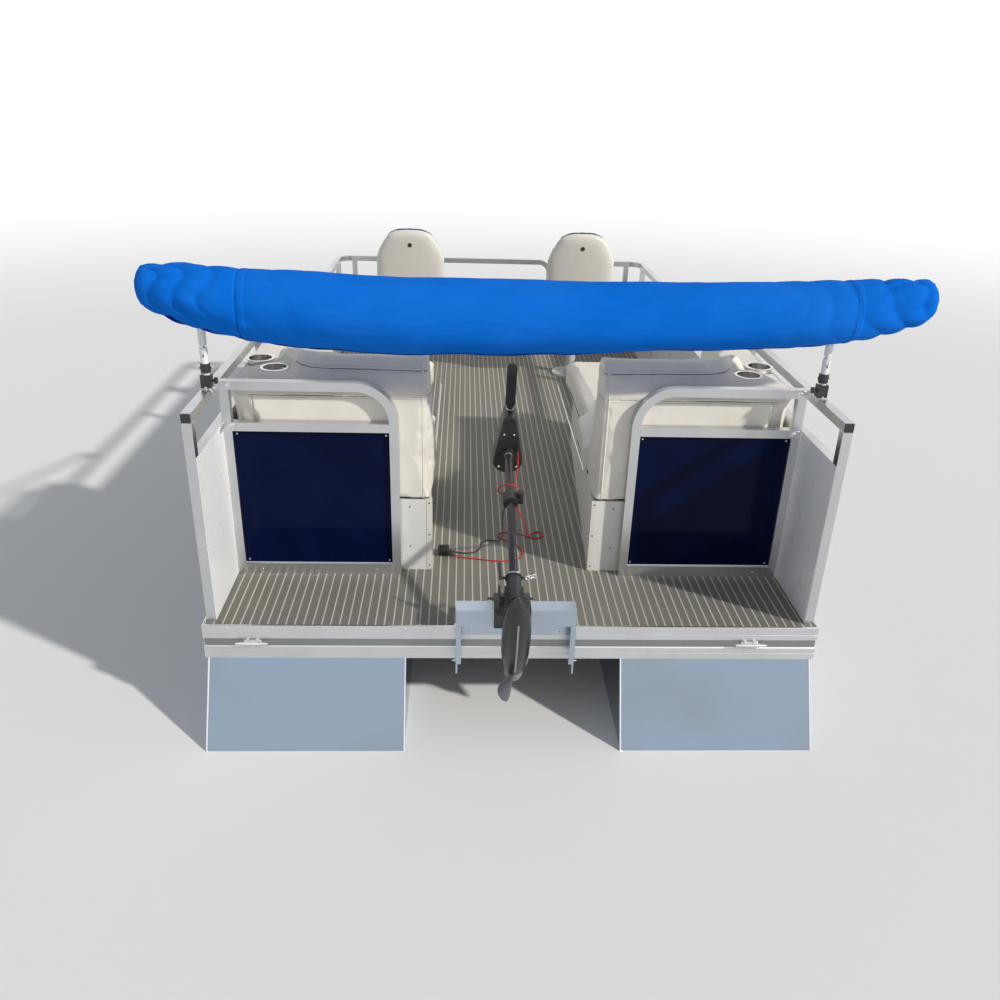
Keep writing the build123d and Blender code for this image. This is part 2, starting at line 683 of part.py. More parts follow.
def chair_seat():
    """Swivelling seat pan with the spider that carries it and the ears of the back's hinge."""
    y, z = fold_axis()
    spider = block(-spider_half, spider_half, -spider_half, spider_half, pedestal_top + soft_gap,
                   pedestal_top + spider_height)
    under, top = pedestal_top + spider_height - 1, pedestal_top + pan_height
    pan = block(-pan_half, pan_half, pan_rear, pan_front, under, top)
    seat = spider + fillet(pan.edges().filter_by(Axis.Z), pan_corner)
    for x in (-chair_ear_x, chair_ear_x):
        ear = block(x - chair_ear / 2, x + chair_ear / 2, y - chair_ear_radius, y + chair_ear_radius,
                    pedestal_top + pan_height - 2, z)
        ear += cross_pin(x, y, z, chair_ear_radius, chair_ear)
        seat += ear - cross_pin(x, y, z, hinge_pin + hinge_fit, 3 * chair_ear)
    return Pos(chair_x, ahead(chair_y), over(0)) * seat


def chair_back():
    """Folding backrest of a chair, on a pin through the seat's ears."""
    y, z = fold_axis()
    back = block(-chair_back_half, chair_back_half, -chair_shell / 2, chair_shell / 2, barrel_radius + 2,
                 chair_back_height)
    back = rounded(back, Axis.Y, chair_back_corner, lambda c: c.Z > chair_back_height - 1)
    inside = chair_ear_x - chair_ear
    tongue = block(-inside, inside, -barrel_radius, barrel_radius, 0, barrel_radius + 3)
    barrel = cross_pin(0, 0, 0, barrel_radius, 2 * inside)
    pin = cross_pin(0, 0, 0, hinge_pin, 2 * (chair_ear_x + chair_ear))
    back += tongue + barrel + pin
    return Pos(chair_x, ahead(chair_y) + y, over(z)) * Rot(chair_back_lean, 0, 0) * back


def canopy_frame():
    """The bow of the folded canopy: two legs from the rail hinges up into the boot, joined across."""
    hinge = (canopy_leg_x, ahead(canopy_hinge_y), over(canopy_hinge_z))
    top = (canopy_leg_x, ahead(boot_y), over(boot_z))
    path = FilletPolyline(hinge, top, (-top[0], top[1], top[2]), (-hinge[0], hinge[1], hinge[2]), radius=bow_bend)
    bow = sweep(Plane(origin=hinge, z_dir=Vector(*top) - Vector(*hinge)) * Circle(canopy_tube), path=path)
    half = eye_thickness / 2
    for sign in (-1, 1):
        x, y, z = sign * canopy_leg_x, ahead(boot_y), over(pole_pivot_z)
        bow += cross_pin(x, hinge[1], hinge[2], hinge_pin, 2 * canopy_tube + 7)
        lug = block(x - half, x + half, y - eye_radius, y + eye_radius + bow_bend,
                    over(boot_z) - 40, over(boot_z) + 18)
        eye = block(x - half, x + half, y - eye_radius, y + eye_radius, z, over(boot_z) - 30)
        eye += cross_pin(x, y, z, eye_radius, eye_thickness)
        bow += lug + (eye - cross_pin(x, y, z, hinge_pin + hinge_fit, 20))
    return bow


def boot_section(x, grow):
    """Section of the canopy boot at a station along the boat's width."""
    return Pos(x, ahead(boot_y), over(boot_z)) * Rot(0, 90, 0) * scale(
        RegularPolygon(1, 16), (boot_half_height * grow, boot_half_depth * grow, 1))


def canopy_boot():
    """The cover round the folded canopy, full in the middle and gathered at both ends, hung on the bow."""
    port, starboard = -deck_width / 2 - boot_past_port, deck_width / 2 + boot_past_starboard
    boot = extrude(boot_section(port + boot_end, 1.0), starboard - port - 2 * boot_end, dir=(1, 0, 0))
    for inner, outer in ((port + boot_end, port), (starboard - boot_end, starboard)):
        boot += loft([boot_section(inner, 1.0), boot_section(outer, boot_end_share)], ruled=True)
    x, y, z = canopy_leg_x, ahead(boot_y), over(boot_z)
    middle, room = x - 0.8 * bow_bend, canopy_tube + boot_room
    hollow = rod((-x, y, z), (x, y, z), room) - block(-middle, middle, y - room - 1, y + room + 1, z + canopy_tube,
                                                     z + room + 1)
    for sign in (-1, 1):
        hollow += block(sign * middle, sign * (x + room), y - room, y + boot_half_depth + 35,
                        z - boot_half_height - 18, z + room)
    return boot - hollow


def canopy_hinges():
    """Forked hinges for the canopy legs, seated on the low side rails."""
    solids = []
    cheek, gap = 2.5, canopy_tube + soft_gap
    for sign in (-1, 1):
        x, y, z = sign * canopy_leg_x, ahead(canopy_hinge_y), over(canopy_hinge_z)
        fork = block(x - gap - cheek, x + gap + cheek, y - 30, y + 30, over(rail_low), over(rail_low + 8))
        for side in (-1, 1):
            a, b = x + side * gap, x + side * (gap + cheek)
            fork += block(a, b, y - 18, y + 18, over(rail_low + 7), z) + cross_pin((a + b) / 2, y, z, 18, cheek)
        solids.append(fork - cross_pin(x, y, z, hinge_pin + hinge_fit, 6 * gap))
    return solids


def pole_jaws():
    """Jaws on the tall rails that the feet of the support poles snap into from ahead."""
    solids = []
    inner = pole_radius + jaw_fit
    outer = inner + jaw_wall
    for sign in (-1, 1):
        x, y = sign * canopy_leg_x, ahead(boot_y)
        jaw = block(x - outer, x + outer, y - outer, y + inner, over(rail_high), over(rail_high + jaw_height))
        jaw -= block(x - inner, x + inner, y, y + outer, over(rail_high + jaw_base), over(rail_high + jaw_height + 1))
        jaw -= Pos(x, y, over(rail_high + jaw_base)) * column(inner, jaw_height)
        strap = block(x - outer, x + outer, y - outer, y + inner, over(rail_high - 10), over(rail_high))
        jaw += strap - block(x - tube, x + tube / 2, y - 2 * outer, y + 2 * outer,
                             over(rail_high - 11), over(rail_high))
        solids.append(jaw)
    return solids


def support_pole():
    """Starboard support pole: pinned to the bow's eye at its top, its foot in the jaw on the rail."""
    x, y, pivot = canopy_leg_x, ahead(boot_y), over(pole_pivot_z)
    low, high = over(rail_high + pole_lift), pivot + eye_radius + 3
    half = eye_thickness / 2 + pole_slot
    pole = Pos(x, y, low) * column(pole_radius, high - low)
    pole -= block(x - half, x + half, y - 30, y + 30, pivot - 18, high + 1)
    return pole + cross_pin(x, y, pivot, hinge_pin, 2 * pole_radius)


def stowed():
    """Frame of the stowed motor: origin on the shaft beside the tilt axis, Z up the shaft, Y to the pod's nose."""
    a = math.radians(stow_angle)
    up = Vector(0, math.cos(a), math.sin(a))
    nose = Vector(0, -math.sin(a), math.cos(a))
    origin = Vector(shaft_x, ahead(pivot_y), over(pivot_z)) + nose * shaft_offset
    return Plane(origin=origin, x_dir=(-1, 0, 0), z_dir=up)


def on_shaft(z, radius, length):
    """A cylinder round the shaft from height z."""
    return Pos(0, 0, z) * column(radius, length)


def sleeve_radius():
    """Outer radius of the sleeve that the shaft slides in."""
    return shaft_radius + shaft_fit + sleeve_wall


def clamp_bracket():
    """Clamp over the mount's channel: ears for the tilt axis, notched quadrant and two screws."""
    x, y0, y1, z = shaft_x, ahead(mount_aft), ahead(0), over(mount_top)
    jaw = y1 + clamp_jaw_gap
    body = block(x - clamp_half, x + clamp_half, y0 - clamp_wall, y0, over(mount_top - mount_face), z + clamp_wall)
    body += block(x - clamp_half, x + clamp_half, y0 - clamp_wall, jaw + clamp_wall, z, z + clamp_wall)
    ear_x = sleeve_radius() + yoke_ear / 2 + ear_gap
    y, axis_z = ahead(pivot_y), over(pivot_z)
    for sign in (-1, 1):
        leg, low = x + sign * clamp_screw_x, over(clamp_screw_z)
        body += block(leg - clamp_jaw_half, leg + clamp_jaw_half, jaw, jaw + clamp_wall, low - 22, z + clamp_wall)
        middle = x + sign * (ear_x + clamp_ear / 2)
        body += block(middle - clamp_ear / 2, middle + clamp_ear / 2, y - clamp_ear_radius, y + clamp_ear_radius,
                      z, axis_z)
        body += cross_pin(middle, y, axis_z, clamp_ear_radius, clamp_ear)
        body += rod((leg, y1, low), (leg, y1 + clamp_screw_length, low), clamp_screw)
        body += rod((leg, y1, low), (leg, y1 + 5, low), clamp_pad)
        body += cross_pin(leg, y1 + clamp_screw_length - clamp_screw, low, clamp_screw - 1.5, clamp_handle)
    edge = x - ear_x - clamp_ear
    body += Pos(edge - quadrant_thickness / 2, y, axis_z) * notched_quadrant()
    hole = 2 * (ear_x + clamp_ear + quadrant_thickness + 1)
    return body - cross_pin(x, y, axis_z, yoke_pin + shaft_fit, hole)


def notched_quadrant():
    """Plate with a notch for each angle the motor can be held at, centred on the tilt axis."""
    plate = cross_pin(0, 0, 0, quadrant_radius, quadrant_thickness)
    upper = Pos(0, 0, quadrant_radius) * Box(2 * quadrant_thickness, 3 * quadrant_radius, 2 * quadrant_radius)
    plate &= upper + cross_pin(0, 0, 0, clamp_ear_radius, quadrant_thickness)
    for k in range(quadrant_notches):
        turn = math.radians(25 + 130 * k / (quadrant_notches - 1))
        y, z = quadrant_radius * math.cos(turn), quadrant_radius * math.sin(turn)
        plate -= cross_pin(0, y, z, notch_radius, 20)
    return plate


def tilt_yoke():
    """Sleeve round the shaft, on two ears that turn about the tilt axis, with its release lever."""
    outer = sleeve_radius()
    top = sleeve_half - lever_radius
    sleeve = on_shaft(-sleeve_half, outer, 2 * sleeve_half)
    for z in (-sleeve_half, sleeve_half - sleeve_ring_width):
        sleeve += on_shaft(z, outer + sleeve_ring, sleeve_ring_width)
    for sign in (-1, 1):
        sleeve += Pos(sign * outer, -shaft_offset / 2, 0) * Box(yoke_ear, shaft_offset, 2 * yoke_ear_radius)
        sleeve += cross_pin(sign * outer, -shaft_offset, 0, yoke_ear_radius, yoke_ear)
    reach = outer + yoke_ear / 2 + ear_gap + clamp_ear
    sleeve += cross_pin(0, -shaft_offset, 0, yoke_pin, 2 * reach + 8)
    lever_x = outer + sleeve_ring
    sleeve += rod((lever_x - 8, 0, top), (lever_x + 16, 0, top), lever_radius)
    sleeve += rod((lever_x + 14, -4, top - 4), (lever_x + 20, 42, top + 31), lever_radius)
    sleeve += rod((8 - lever_x, 0, top), (-lever_x - 8, 0, top), lever_radius - 1)
    sleeve -= on_shaft(-2 * sleeve_half, shaft_radius + shaft_fit, 4 * sleeve_half)
    return stowed() * sleeve


def depth_collar():
    """Split collar clamped to the shaft by a knob, which sets how deep the motor runs."""
    outer = shaft_radius + collar_wall
    middle, knob_x = collar_reach + collar_length / 2, -outer - 9
    ring = on_shaft(collar_reach, outer, collar_length)
    ring += Pos(-outer - 6, 0, middle) * Box(26, 16, 30)
    ring += rod((knob_x, 7, middle), (knob_x, 24, middle), 5)
    ring += rod((knob_x, 20, middle), (knob_x, 36, middle), knob_radius)
    ring -= on_shaft(collar_reach - 10, shaft_radius + shaft_fit, collar_length + 20)
    ring -= Pos(-outer - 10, 0, middle) * Box(2 * outer, collar_slit, collar_length + 2)
    return stowed() * ring


def motor_shaft():
    """The tube between the pod and the control head."""
    return stowed() * on_shaft(-pod_reach + pod_radius, shaft_radius, head_reach + pod_reach - pod_radius)


def motor_pod():
    """Torpedo housing across the foot of the shaft, with its neck, keel line and propeller shaft."""
    r = pod_radius
    outline = [(0, -pod_tail), (r * 0.66, -pod_tail), (r * 0.80, -pod_tail + 26), (r * 0.84, -pod_tail + 34),
               (r * 0.97, -pod_tail + 90), (r, -10)]
    steps = 7
    for k in range(1, steps):
        turn = math.radians(90 * k / steps)
        outline.append((r * math.cos(turn), pod_nose * math.sin(turn)))
    outline.append((0, pod_nose))
    body = revolve(make_face(Polyline(*outline, close=True)), Axis.Y)
    body += on_shaft(0, neck_radius, r + neck_height)
    keel = [(pod_nose - 25, 0), (110, 3 - 0.82 * r - keel_depth), (20, -r - keel_depth), (-90, -r - keel_depth),
            (-pod_tail + 30, 4 - r), (-pod_tail + 30, 0)]
    body += sheet_x(keel, -keel_thickness / 2, keel_thickness)
    body -= on_shaft(r, shaft_radius, 200)
    body += rod((0, -pod_tail + 1, 0), (0, -pod_tail - prop_gap - hub_length + 8, 0), prop_shaft_radius)
    return stowed() * Pos(0, 0, -pod_reach) * body


def control_head():
    """Control housing on top of the shaft: a drop shape that narrows towards the tiller."""
    wide = Pos(0, head_half - head_low) * Circle(head_half)
    narrow = Pos(0, head_high - head_tip) * Circle(head_tip)
    drop = make_hull([*wide.edges(), *narrow.edges()])
    head = extrude(drop, head_depth)
    head = fillet([e for e in head.edges() if e.center().Z > head_depth - 1], head_round)
    head = fillet([e for e in head.edges() if e.center().Z < 1], head_round / 2)
    head += on_shaft(-14, shaft_radius + 9, 20) - on_shaft(-30, shaft_radius, 30)
    head += rod((0, -50, head_depth - 1), (0, -50, head_depth + 14), 17)
    return stowed() * Pos(0, 0, head_reach) * head


def tiller():
    """Twist-grip handle out of the head, slimmer at its root."""
    root = head_high + 20
    outline = [(0, head_high), (tiller_root, head_high), (tiller_root, root), (tiller_radius, root + 14),
               (tiller_radius - 1.5, tiller_end - 8), (tiller_radius - 8, tiller_end), (0, tiller_end)]
    grip = revolve(make_face(Polyline(*outline, close=True)), Axis.Y)
    return stowed() * Pos(0, 0, head_reach + head_depth / 2) * grip


def blade():
    """One blade, lofted through its sections from the root to the tip."""
    sections = []
    for reach, chord, thickness, pitch, sweep_back in blade_sections:
        lens = scale(RegularPolygon(1, 10), (chord / 2, thickness / 2, 1))
        sections.append(Pos(sweep_back, 0, reach) * Rot(0, 0, pitch) * lens)
    return loft(sections)


def propeller():
    """Two swept blades, lofted from root to tip, on a tapered hub."""
    y = -pod_tail - prop_gap
    outline = [(0, y), (hub_radius, y), (hub_radius, y - 0.45 * hub_length),
               (0.8 * hub_radius, y - 0.8 * hub_length), (0.5 * hub_radius, y - hub_length), (0, y - hub_length)]
    hub = revolve(make_face(Polyline(*outline, close=True)), Axis.Y)
    for k in range(2):
        hub += Pos(0, y - 0.4 * hub_length, 0) * Rot(0, 180 * k + blade_turn, 0) * blade()
    hub -= rod((0, y + 1, 0), (0, y - hub_length + 8, 0), prop_shaft_radius + prop_fit)
    return stowed() * Pos(0, 0, -pod_reach) * hub


def cleat(x, y, z, turn):
    """A mooring cleat on the outer face of a trim at a height, facing aft or turned to face forward."""
    half = cleat_length / 2
    outline = [(-half, 0), (-half, horn_radius / 2), (-0.35 * half, horn_radius), (0.35 * half, horn_radius),
               (half, horn_radius / 2), (half, 0)]
    horn = Pos(0, -cleat_rise, 0) * revolve(make_face(Polyline(*outline, close=True)), Axis.X)
    base = block(-0.55 * half, 0.55 * half, -4, 0, -10, 10)
    legs = [block(side * 0.3 * half - 5, side * 0.3 * half + 5, -cleat_rise, -3, -6, 6) for side in (-1, 1)]
    return Pos(x, y, z) * Rot(0, 0, turn) * (horn + base + legs[0] + legs[1])


def mooring_cleats():
    """Cleats on the stern trim and on the bow trim, seated in its recessed band."""
    solids = [cleat(x, ahead(trim_band), over(z), 0) for x, z in cleats]
    for sign in (-1, 1):
        solids.append(cleat(sign * bow_cleat_x, ahead(deck_length - trim_band), over(cleats[0][1]), 180))
    return solids


def lead(name, route):
    """A loose electric lead along its route, each corner rounded to suit its shorter run."""
    spots = [Vector(*spot) for spot in route]
    runs = [b - a for a, b in zip(spots, spots[1:])]
    radii = []
    for before, after in zip(runs, runs[1:]):
        half_turn = math.radians(before.get_angle(after)) / 2
        radii.append(0.45 * min(before.length, after.length) / math.tan(half_turn))
    print(name, "length", round(sum(r.length for r in runs)), "runs", [round(r.length) for r in runs],
          "radii", [round(r) for r in radii])
    path = FilletPolyline(*spots, radius=radii)
    return sweep(Plane(origin=spots[0], z_dir=runs[0]) * RegularPolygon(lead_radius, lead_sides), path=path)


def deck_lead(name, route):
    """A lead whose route is given over the deck."""
    return lead(name, [(x, ahead(y), over(z)) for x, y, z in route])


def lead_plug():
    """Round plug on the ends of the two leads, lying on the deck."""
    a, b = plug_ends
    y, z = ahead(plug_y), over(plug_radius + soft_gap)
    shape = rod((a, y, z), (b, y, z), plug_radius)
    return chamfer(shape.edges().filter_by(GeomType.CIRCLE), plug_chamfer)


def write(name, shape):
    """Write one node's STEP file."""
    if isinstance(shape, (list, tuple, ShapeList)):
        shape = Compound(children=list(shape))
    export_step(shape, f"parts/{name}.step")


def build():
    """Write every node."""
    os.makedirs("parts", exist_ok=True)
    stern_trim, bow_trim, side_trim = edge_trims()
    stern_bay = (stern_fence_inner_x, rail_side_x - tube)
    bow_bay = (gate_half, rail_side_x - bow_corner)
    board_top = deck_z - vinyl_thickness
    single = {
        "pontoon_rails": bearing_rails(), "cross_members": cross_members(),
        "deck_board": deck_layer(board_top - board_thickness, board_top),
        "deck_covering": deck_layer(board_top, deck_z), "stern_trim": stern_trim, "bow_trim": bow_trim,
        "motor_mount": motor_mount(), "mooring_cleats": mooring_cleats(), "bow_gate_frame": bow_gate(),
        "bow_gate_panel": gate_panel(), "bow_fence_starboard": bow_fence(True),
        "bow_fence_port": mirrored("port", bow_fence(False)), "canopy_frame": canopy_frame(),
        "canopy_boot": canopy_boot(), "canopy_hinges": canopy_hinges(), "pole_jaws": pole_jaws(),
        "clamp_bracket": clamp_bracket(), "tilt_yoke": tilt_yoke(), "depth_collar": depth_collar(),
        "motor_shaft": motor_shaft(), "motor_pod": motor_pod(), "control_head": control_head(),
        "tiller_handle": tiller(), "propeller": propeller(), "lead_plug": lead_plug(),
        "head_lead": stowed() * lead("head_lead", head_lead_route),
        "red_lead": deck_lead("red_lead", red_lead_route), "black_lead": deck_lead("black_lead", black_lead_route),
    }
    paired = {
        "pontoon": pontoon(), "side_trim": side_trim, "stern_fence": stern_fence(),
        "stern_panel": fence_panel(*stern_bay, stern_fence_aft, rail_low),
        "side_fence": side_fence(), "side_panels": side_panels(),
        "bow_panel": fence_panel(*bow_bay, bow_fence_y, rail_mid), "lounge_base": lounge_base(),
        "lounge_back": lounge_back(), "lounge_arm": lounge_arm(), "cup_holders": cup_holders(),
        "lounge_seat": lounge_seat(), "chair_pedestal": chair_pedestal(), "chair_seat": chair_seat(),
        "chair_back": chair_back(), "support_pole": support_pole(),
    }
    for name, shape in single.items():
        write(name, shape)
    for name, shape in paired.items():
        solids = list(shape) if isinstance(shape, list) else [shape]
        for side in ("port", "starboard"):
            write(f"{name}_{side}", [mirrored(side, s) for s in solids])


if __name__ == "__main__":
    build()
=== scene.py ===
import bmesh
import bpy
import math
from mathutils import Matrix, Vector, noise
from mathutils.bvhtree import BVHTree


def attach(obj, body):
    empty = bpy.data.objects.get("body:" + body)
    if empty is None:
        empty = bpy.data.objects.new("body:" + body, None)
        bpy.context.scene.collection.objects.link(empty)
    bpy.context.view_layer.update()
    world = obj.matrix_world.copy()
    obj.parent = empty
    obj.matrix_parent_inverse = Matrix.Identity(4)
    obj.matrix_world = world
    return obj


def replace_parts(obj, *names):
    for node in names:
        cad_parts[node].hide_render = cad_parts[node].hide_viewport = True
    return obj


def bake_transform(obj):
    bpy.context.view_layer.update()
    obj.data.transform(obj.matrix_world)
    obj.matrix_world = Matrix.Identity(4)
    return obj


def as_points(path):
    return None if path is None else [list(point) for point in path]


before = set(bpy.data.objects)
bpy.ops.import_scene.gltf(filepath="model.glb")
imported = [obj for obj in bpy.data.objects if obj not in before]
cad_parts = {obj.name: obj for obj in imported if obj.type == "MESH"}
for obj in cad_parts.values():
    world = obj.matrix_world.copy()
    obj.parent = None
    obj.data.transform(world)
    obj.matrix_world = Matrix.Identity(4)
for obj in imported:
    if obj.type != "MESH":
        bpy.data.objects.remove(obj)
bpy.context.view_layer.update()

# Places are given in metres as x to starboard, y ahead of the stern trim and z above the deck.
STERN = -1.845
DECK = 0.600
WATERLINE = 0.182
SIDES = (("port", -1), ("starboard", 1))


def place(x, y, z):
    """A point of the boat from its place over the deck."""
    return Vector((x, STERN + y, DECK + z))


def spread(start, end, count):
    """Places spaced evenly from start to end."""
    return [start + (end - start) * k / (count - 1) for k in range(count)]


def toward(direction, at=(0, 0, 0)):
    """The turn that points a shape's Z along a direction, and moves it to a point."""
    return Matrix.Translation(at) @ Vector(direction).to_track_quat("Z", "Y").to_matrix().to_4x4()


# Camera, light and floor

CAMERA_AT, CAMERA_TURN = (-0.188, -2.5805, 1.691), (0.0477, 0.4378, 0.0309)
FOCAL_PIXELS, PICTURE_PIXELS, SENSOR = 886.69, 1000, 36
SUN_FROM = (0.857, -0.515, 0.637)
# Distances from the boat between which the floor fades into the pale backdrop
FADE_START, FADE_END = 4.5, 13.0


def show(name, data):
    """Adds an object to the scene."""
    made = bpy.data.objects.new(name, data)
    bpy.context.scene.collection.objects.link(made)
    return made


def set_camera():
    """The photograph's viewpoint, behind and above the stern, tipped a little to one side."""
    yaw, pitch, roll = CAMERA_TURN
    ahead = Vector((math.sin(yaw) * math.cos(pitch), math.cos(yaw) * math.cos(pitch), -math.sin(pitch)))
    right = Vector((math.cos(yaw), -math.sin(yaw), 0))
    up = right.cross(ahead)
    tipped_right = right * math.cos(roll) + up * math.sin(roll)
    tipped_up = up * math.cos(roll) - right * math.sin(roll)
    turn = Matrix((tipped_right, tipped_up, -ahead)).transposed().to_4x4()
    lens = bpy.data.cameras.new("view")
    lens.sensor_width = SENSOR
    lens.lens = SENSOR * FOCAL_PIXELS / PICTURE_PIXELS
    camera = show("view", lens)
    camera.matrix_world = Matrix.Translation(place(*CAMERA_AT)) @ turn
    bpy.context.scene.camera = camera


def set_light():
    """A pale sky all round and a low sun from starboard, behind the beam."""
    scene = bpy.context.scene
    scene.view_settings.view_transform = "Standard"
    sky = bpy.data.worlds.new("sky")
    scene.world = sky
    sky.use_nodes = True
    n = Nodes(sky.node_tree)
    glow = n.step("Background", "Background", None, Color=(0.86, 0.91, 1.0), Strength=0.42)
    white = n.step("Background", "Background", None, Color=(1, 1, 1))
    both = n.step("MixShader", "Shader", None, Fac=n.seen_directly(), i1=glow, i2=white)
    n.feed(n.tree.nodes["World Output"].inputs["Surface"], both)
    sun = bpy.data.lights.new("sun", "SUN")
    sun.energy = 3.0
    sun.angle = math.radians(2.5)
    sun.color = (1.0, 0.965, 0.91)
    show("sun", sun).matrix_world = toward(SUN_FROM)


def lay_floor():
    """A plain pale floor at the waterline."""
    bm = bmesh.new()
    bmesh.ops.create_grid(bm, x_segments=1, y_segments=1, size=30)
    bmesh.ops.translate(bm, verts=bm.verts, vec=(0, 0, WATERLINE))
    mesh = bpy.data.meshes.new("floor")
    bm.to_mesh(mesh)
    f = Finish("floor_paint", (0.80, 0.80, 0.79), 0.8)
    reach = f.step("VectorMath", "Value", {"operation": "LENGTH"}, i0=f.step("TexCoord", "Object"))
    fade = f.step("MapRange", "Result", {"interpolation_type": "SMOOTHSTEP"}, Value=reach, i1=FADE_START, i2=FADE_END)
    backdrop = f.step("MixShader", "Shader", None, Fac=f.sum(fade, f.seen_directly(), "MULTIPLY"),
                      i1=f.shader.outputs[0], i2=f.step("Emission", "Emission"))
    f.feed(f.tree.nodes["Material Output"].inputs["Surface"], backdrop)
    mesh.materials.append(f.material)
    show("floor", mesh)


# Finishes

class Nodes:
    """The few node steps that the sky and the finishes share."""

    def __init__(self, tree):
        self.tree = tree

    def feed(self, socket, value):
        """Links a socket's output in, or sets a plain value or a colour."""
        if isinstance(value, bpy.types.NodeSocket):
            self.tree.links.new(value, socket)
        elif socket.type == "RGBA" and len(value) == 3:
            socket.default_value = (*value, 1)
        else:
            socket.default_value = value

    def step(self, kind, out, props=None, **inputs):
        """Adds a node, fills its inputs by name, or by number as in i0, and returns one of its outputs."""
        node = self.tree.nodes.new("ShaderNode" + kind)
        for key, value in (props or {}).items():
            setattr(node, key, value)
        for key, value in inputs.items():
            key = int(key[1:]) if key[0] == "i" and key[1:].isdigit() else key.replace("_", " ")
            self.feed(node.inputs[key], value)
        return node.outputs[out]

    def sum(self, first, second, kind="ADD"):
        """Adds, multiplies or compares two values."""
        return self.step("Math", "Value", {"operation": kind}, i0=first, i1=second)

    def seen_directly(self):
        """1 on the rays that show the backdrop: to the camera, in a reflection, or through glass."""
        total = self.step("LightPath", "Is Camera Ray")
        for ray in ("Is Glossy Ray", "Is Transmission Ray"):
            total = self.sum(total, self.step("LightPath", ray), "MAXIMUM")
        return total


class Finish(Nodes):
    """A material with a Principled shader, with the steps that shape its wear."""

    def __init__(self, name, colour, roughness, metallic=0.0, **sockets):
        self.material = bpy.data.materials.new(name)
        self.material.use_nodes = True
        super().__init__(self.material.node_tree)
        self.shader = self.tree.nodes["Principled BSDF"]
        self.normal = None
        self.set(Base_Color=colour, Roughness=roughness, Metallic=metallic, **sockets)

    def set(self, **sockets):
        """Sets the shader's own sockets, or links into them."""
        for key, value in sockets.items():
            self.feed(self.shader.inputs[key.replace("_", " ")], value)

    def spot(self, stretch=(1, 1, 1), uv=False):
        """Coordinates in metres on the piece, stretched."""
        start = self.step("TexCoord", "UV" if uv else "Object")
        return self.step("Mapping", "Vector", Vector=start, Scale=stretch)

    def cloud(self, scale, detail, rough=0.55, **where):
        """Soft noise from 0 to 1."""
        return self.step("TexNoise", "Fac", Vector=self.spot(**where), Scale=scale, Detail=detail, Roughness=rough)

    def cells(self, scale):
        """Distance to the nearest of many scattered points."""
        return self.step("TexVoronoi", "Distance", Vector=self.spot(), Scale=scale)

    def waves(self, scale, direction, warp=0.0, uv=False):
        """Even bands along one axis."""
        return self.step("TexWave", "Fac", {"bands_direction": direction}, Vector=self.spot(uv=uv), Scale=scale,
                         Distortion=warp)

    def span(self, value, low, high, start, end):
        """Moves a value from one range into another, and holds it there."""
        return self.step("MapRange", "Result", None, Value=value, i1=low, i2=high, i3=start, i4=end)

    def tint(self, amount, first, second):
        """Mixes two colours by an amount."""
        return self.step("Mix", 2, {"data_type": "RGBA"}, i0=amount, i6=first, i7=second)

    def worn(self, noise, low, high, amount, first, second):
        """Colours the shader from one colour towards another where noise rises through a range."""
        self.set(Base_Color=self.tint(self.span(noise, low, high, 0, amount), first, second))

    def relief(self, height, distance, strength):
        """Adds a bump of a real height in metres, over any bump there already."""
        inputs = {"Height": height, "Distance": distance, "Strength": strength}
        if self.normal:
            inputs["Normal"] = self.normal
        self.normal = self.step("Bump", "Normal", **inputs)
        self.set(Normal=self.normal)


def mill_aluminium(name, colour, roughness, grain):
    """Bright aluminium: fine drawn lines, clouded oxide and slight dents."""
    f = Finish(name, colour, roughness, 1.0)
    lines = f.cloud(1.0, 3, 0.6, stretch=grain)
    stains = f.cloud(5.0, 6)
    f.worn(stains, 0.35, 0.75, 0.75, colour, [c * 0.80 for c in colour])
    f.set(Roughness=f.sum(f.span(stains, 0.3, 0.7, roughness - 0.07, roughness + 0.08),
                          f.span(lines, 0.35, 0.75, 0.0, 0.07)))
    f.relief(lines, 0.00002, 0.4)
    f.relief(f.cloud(6.0, 2), 0.0009, 0.15)
    return f.material


def hull_plate(name, colour):
    """Sheet aluminium of the pontoons: bright, gently dished, with soft clouds and faint run marks."""
    f = Finish(name, colour, 0.2, 1.0)
    runs = f.cloud(1.0, 4, 0.6, stretch=(18, 18, 1.6))
    clouds = f.cloud(1.8, 3, 0.5)
    f.worn(clouds, 0.46, 0.72, 0.8, colour, [c * fade for c, fade in zip(colour, (0.92, 0.80, 0.70))])
    f.set(Roughness=f.sum(f.span(clouds, 0.3, 0.7, 0.15, 0.24), f.span(runs, 0.45, 0.75, 0, 0.05)))
    f.relief(f.cloud(1.5, 2), 0.008, 0.35)
    f.relief(f.cloud(140.0, 3), 0.00005, 0.3)
    return f.material


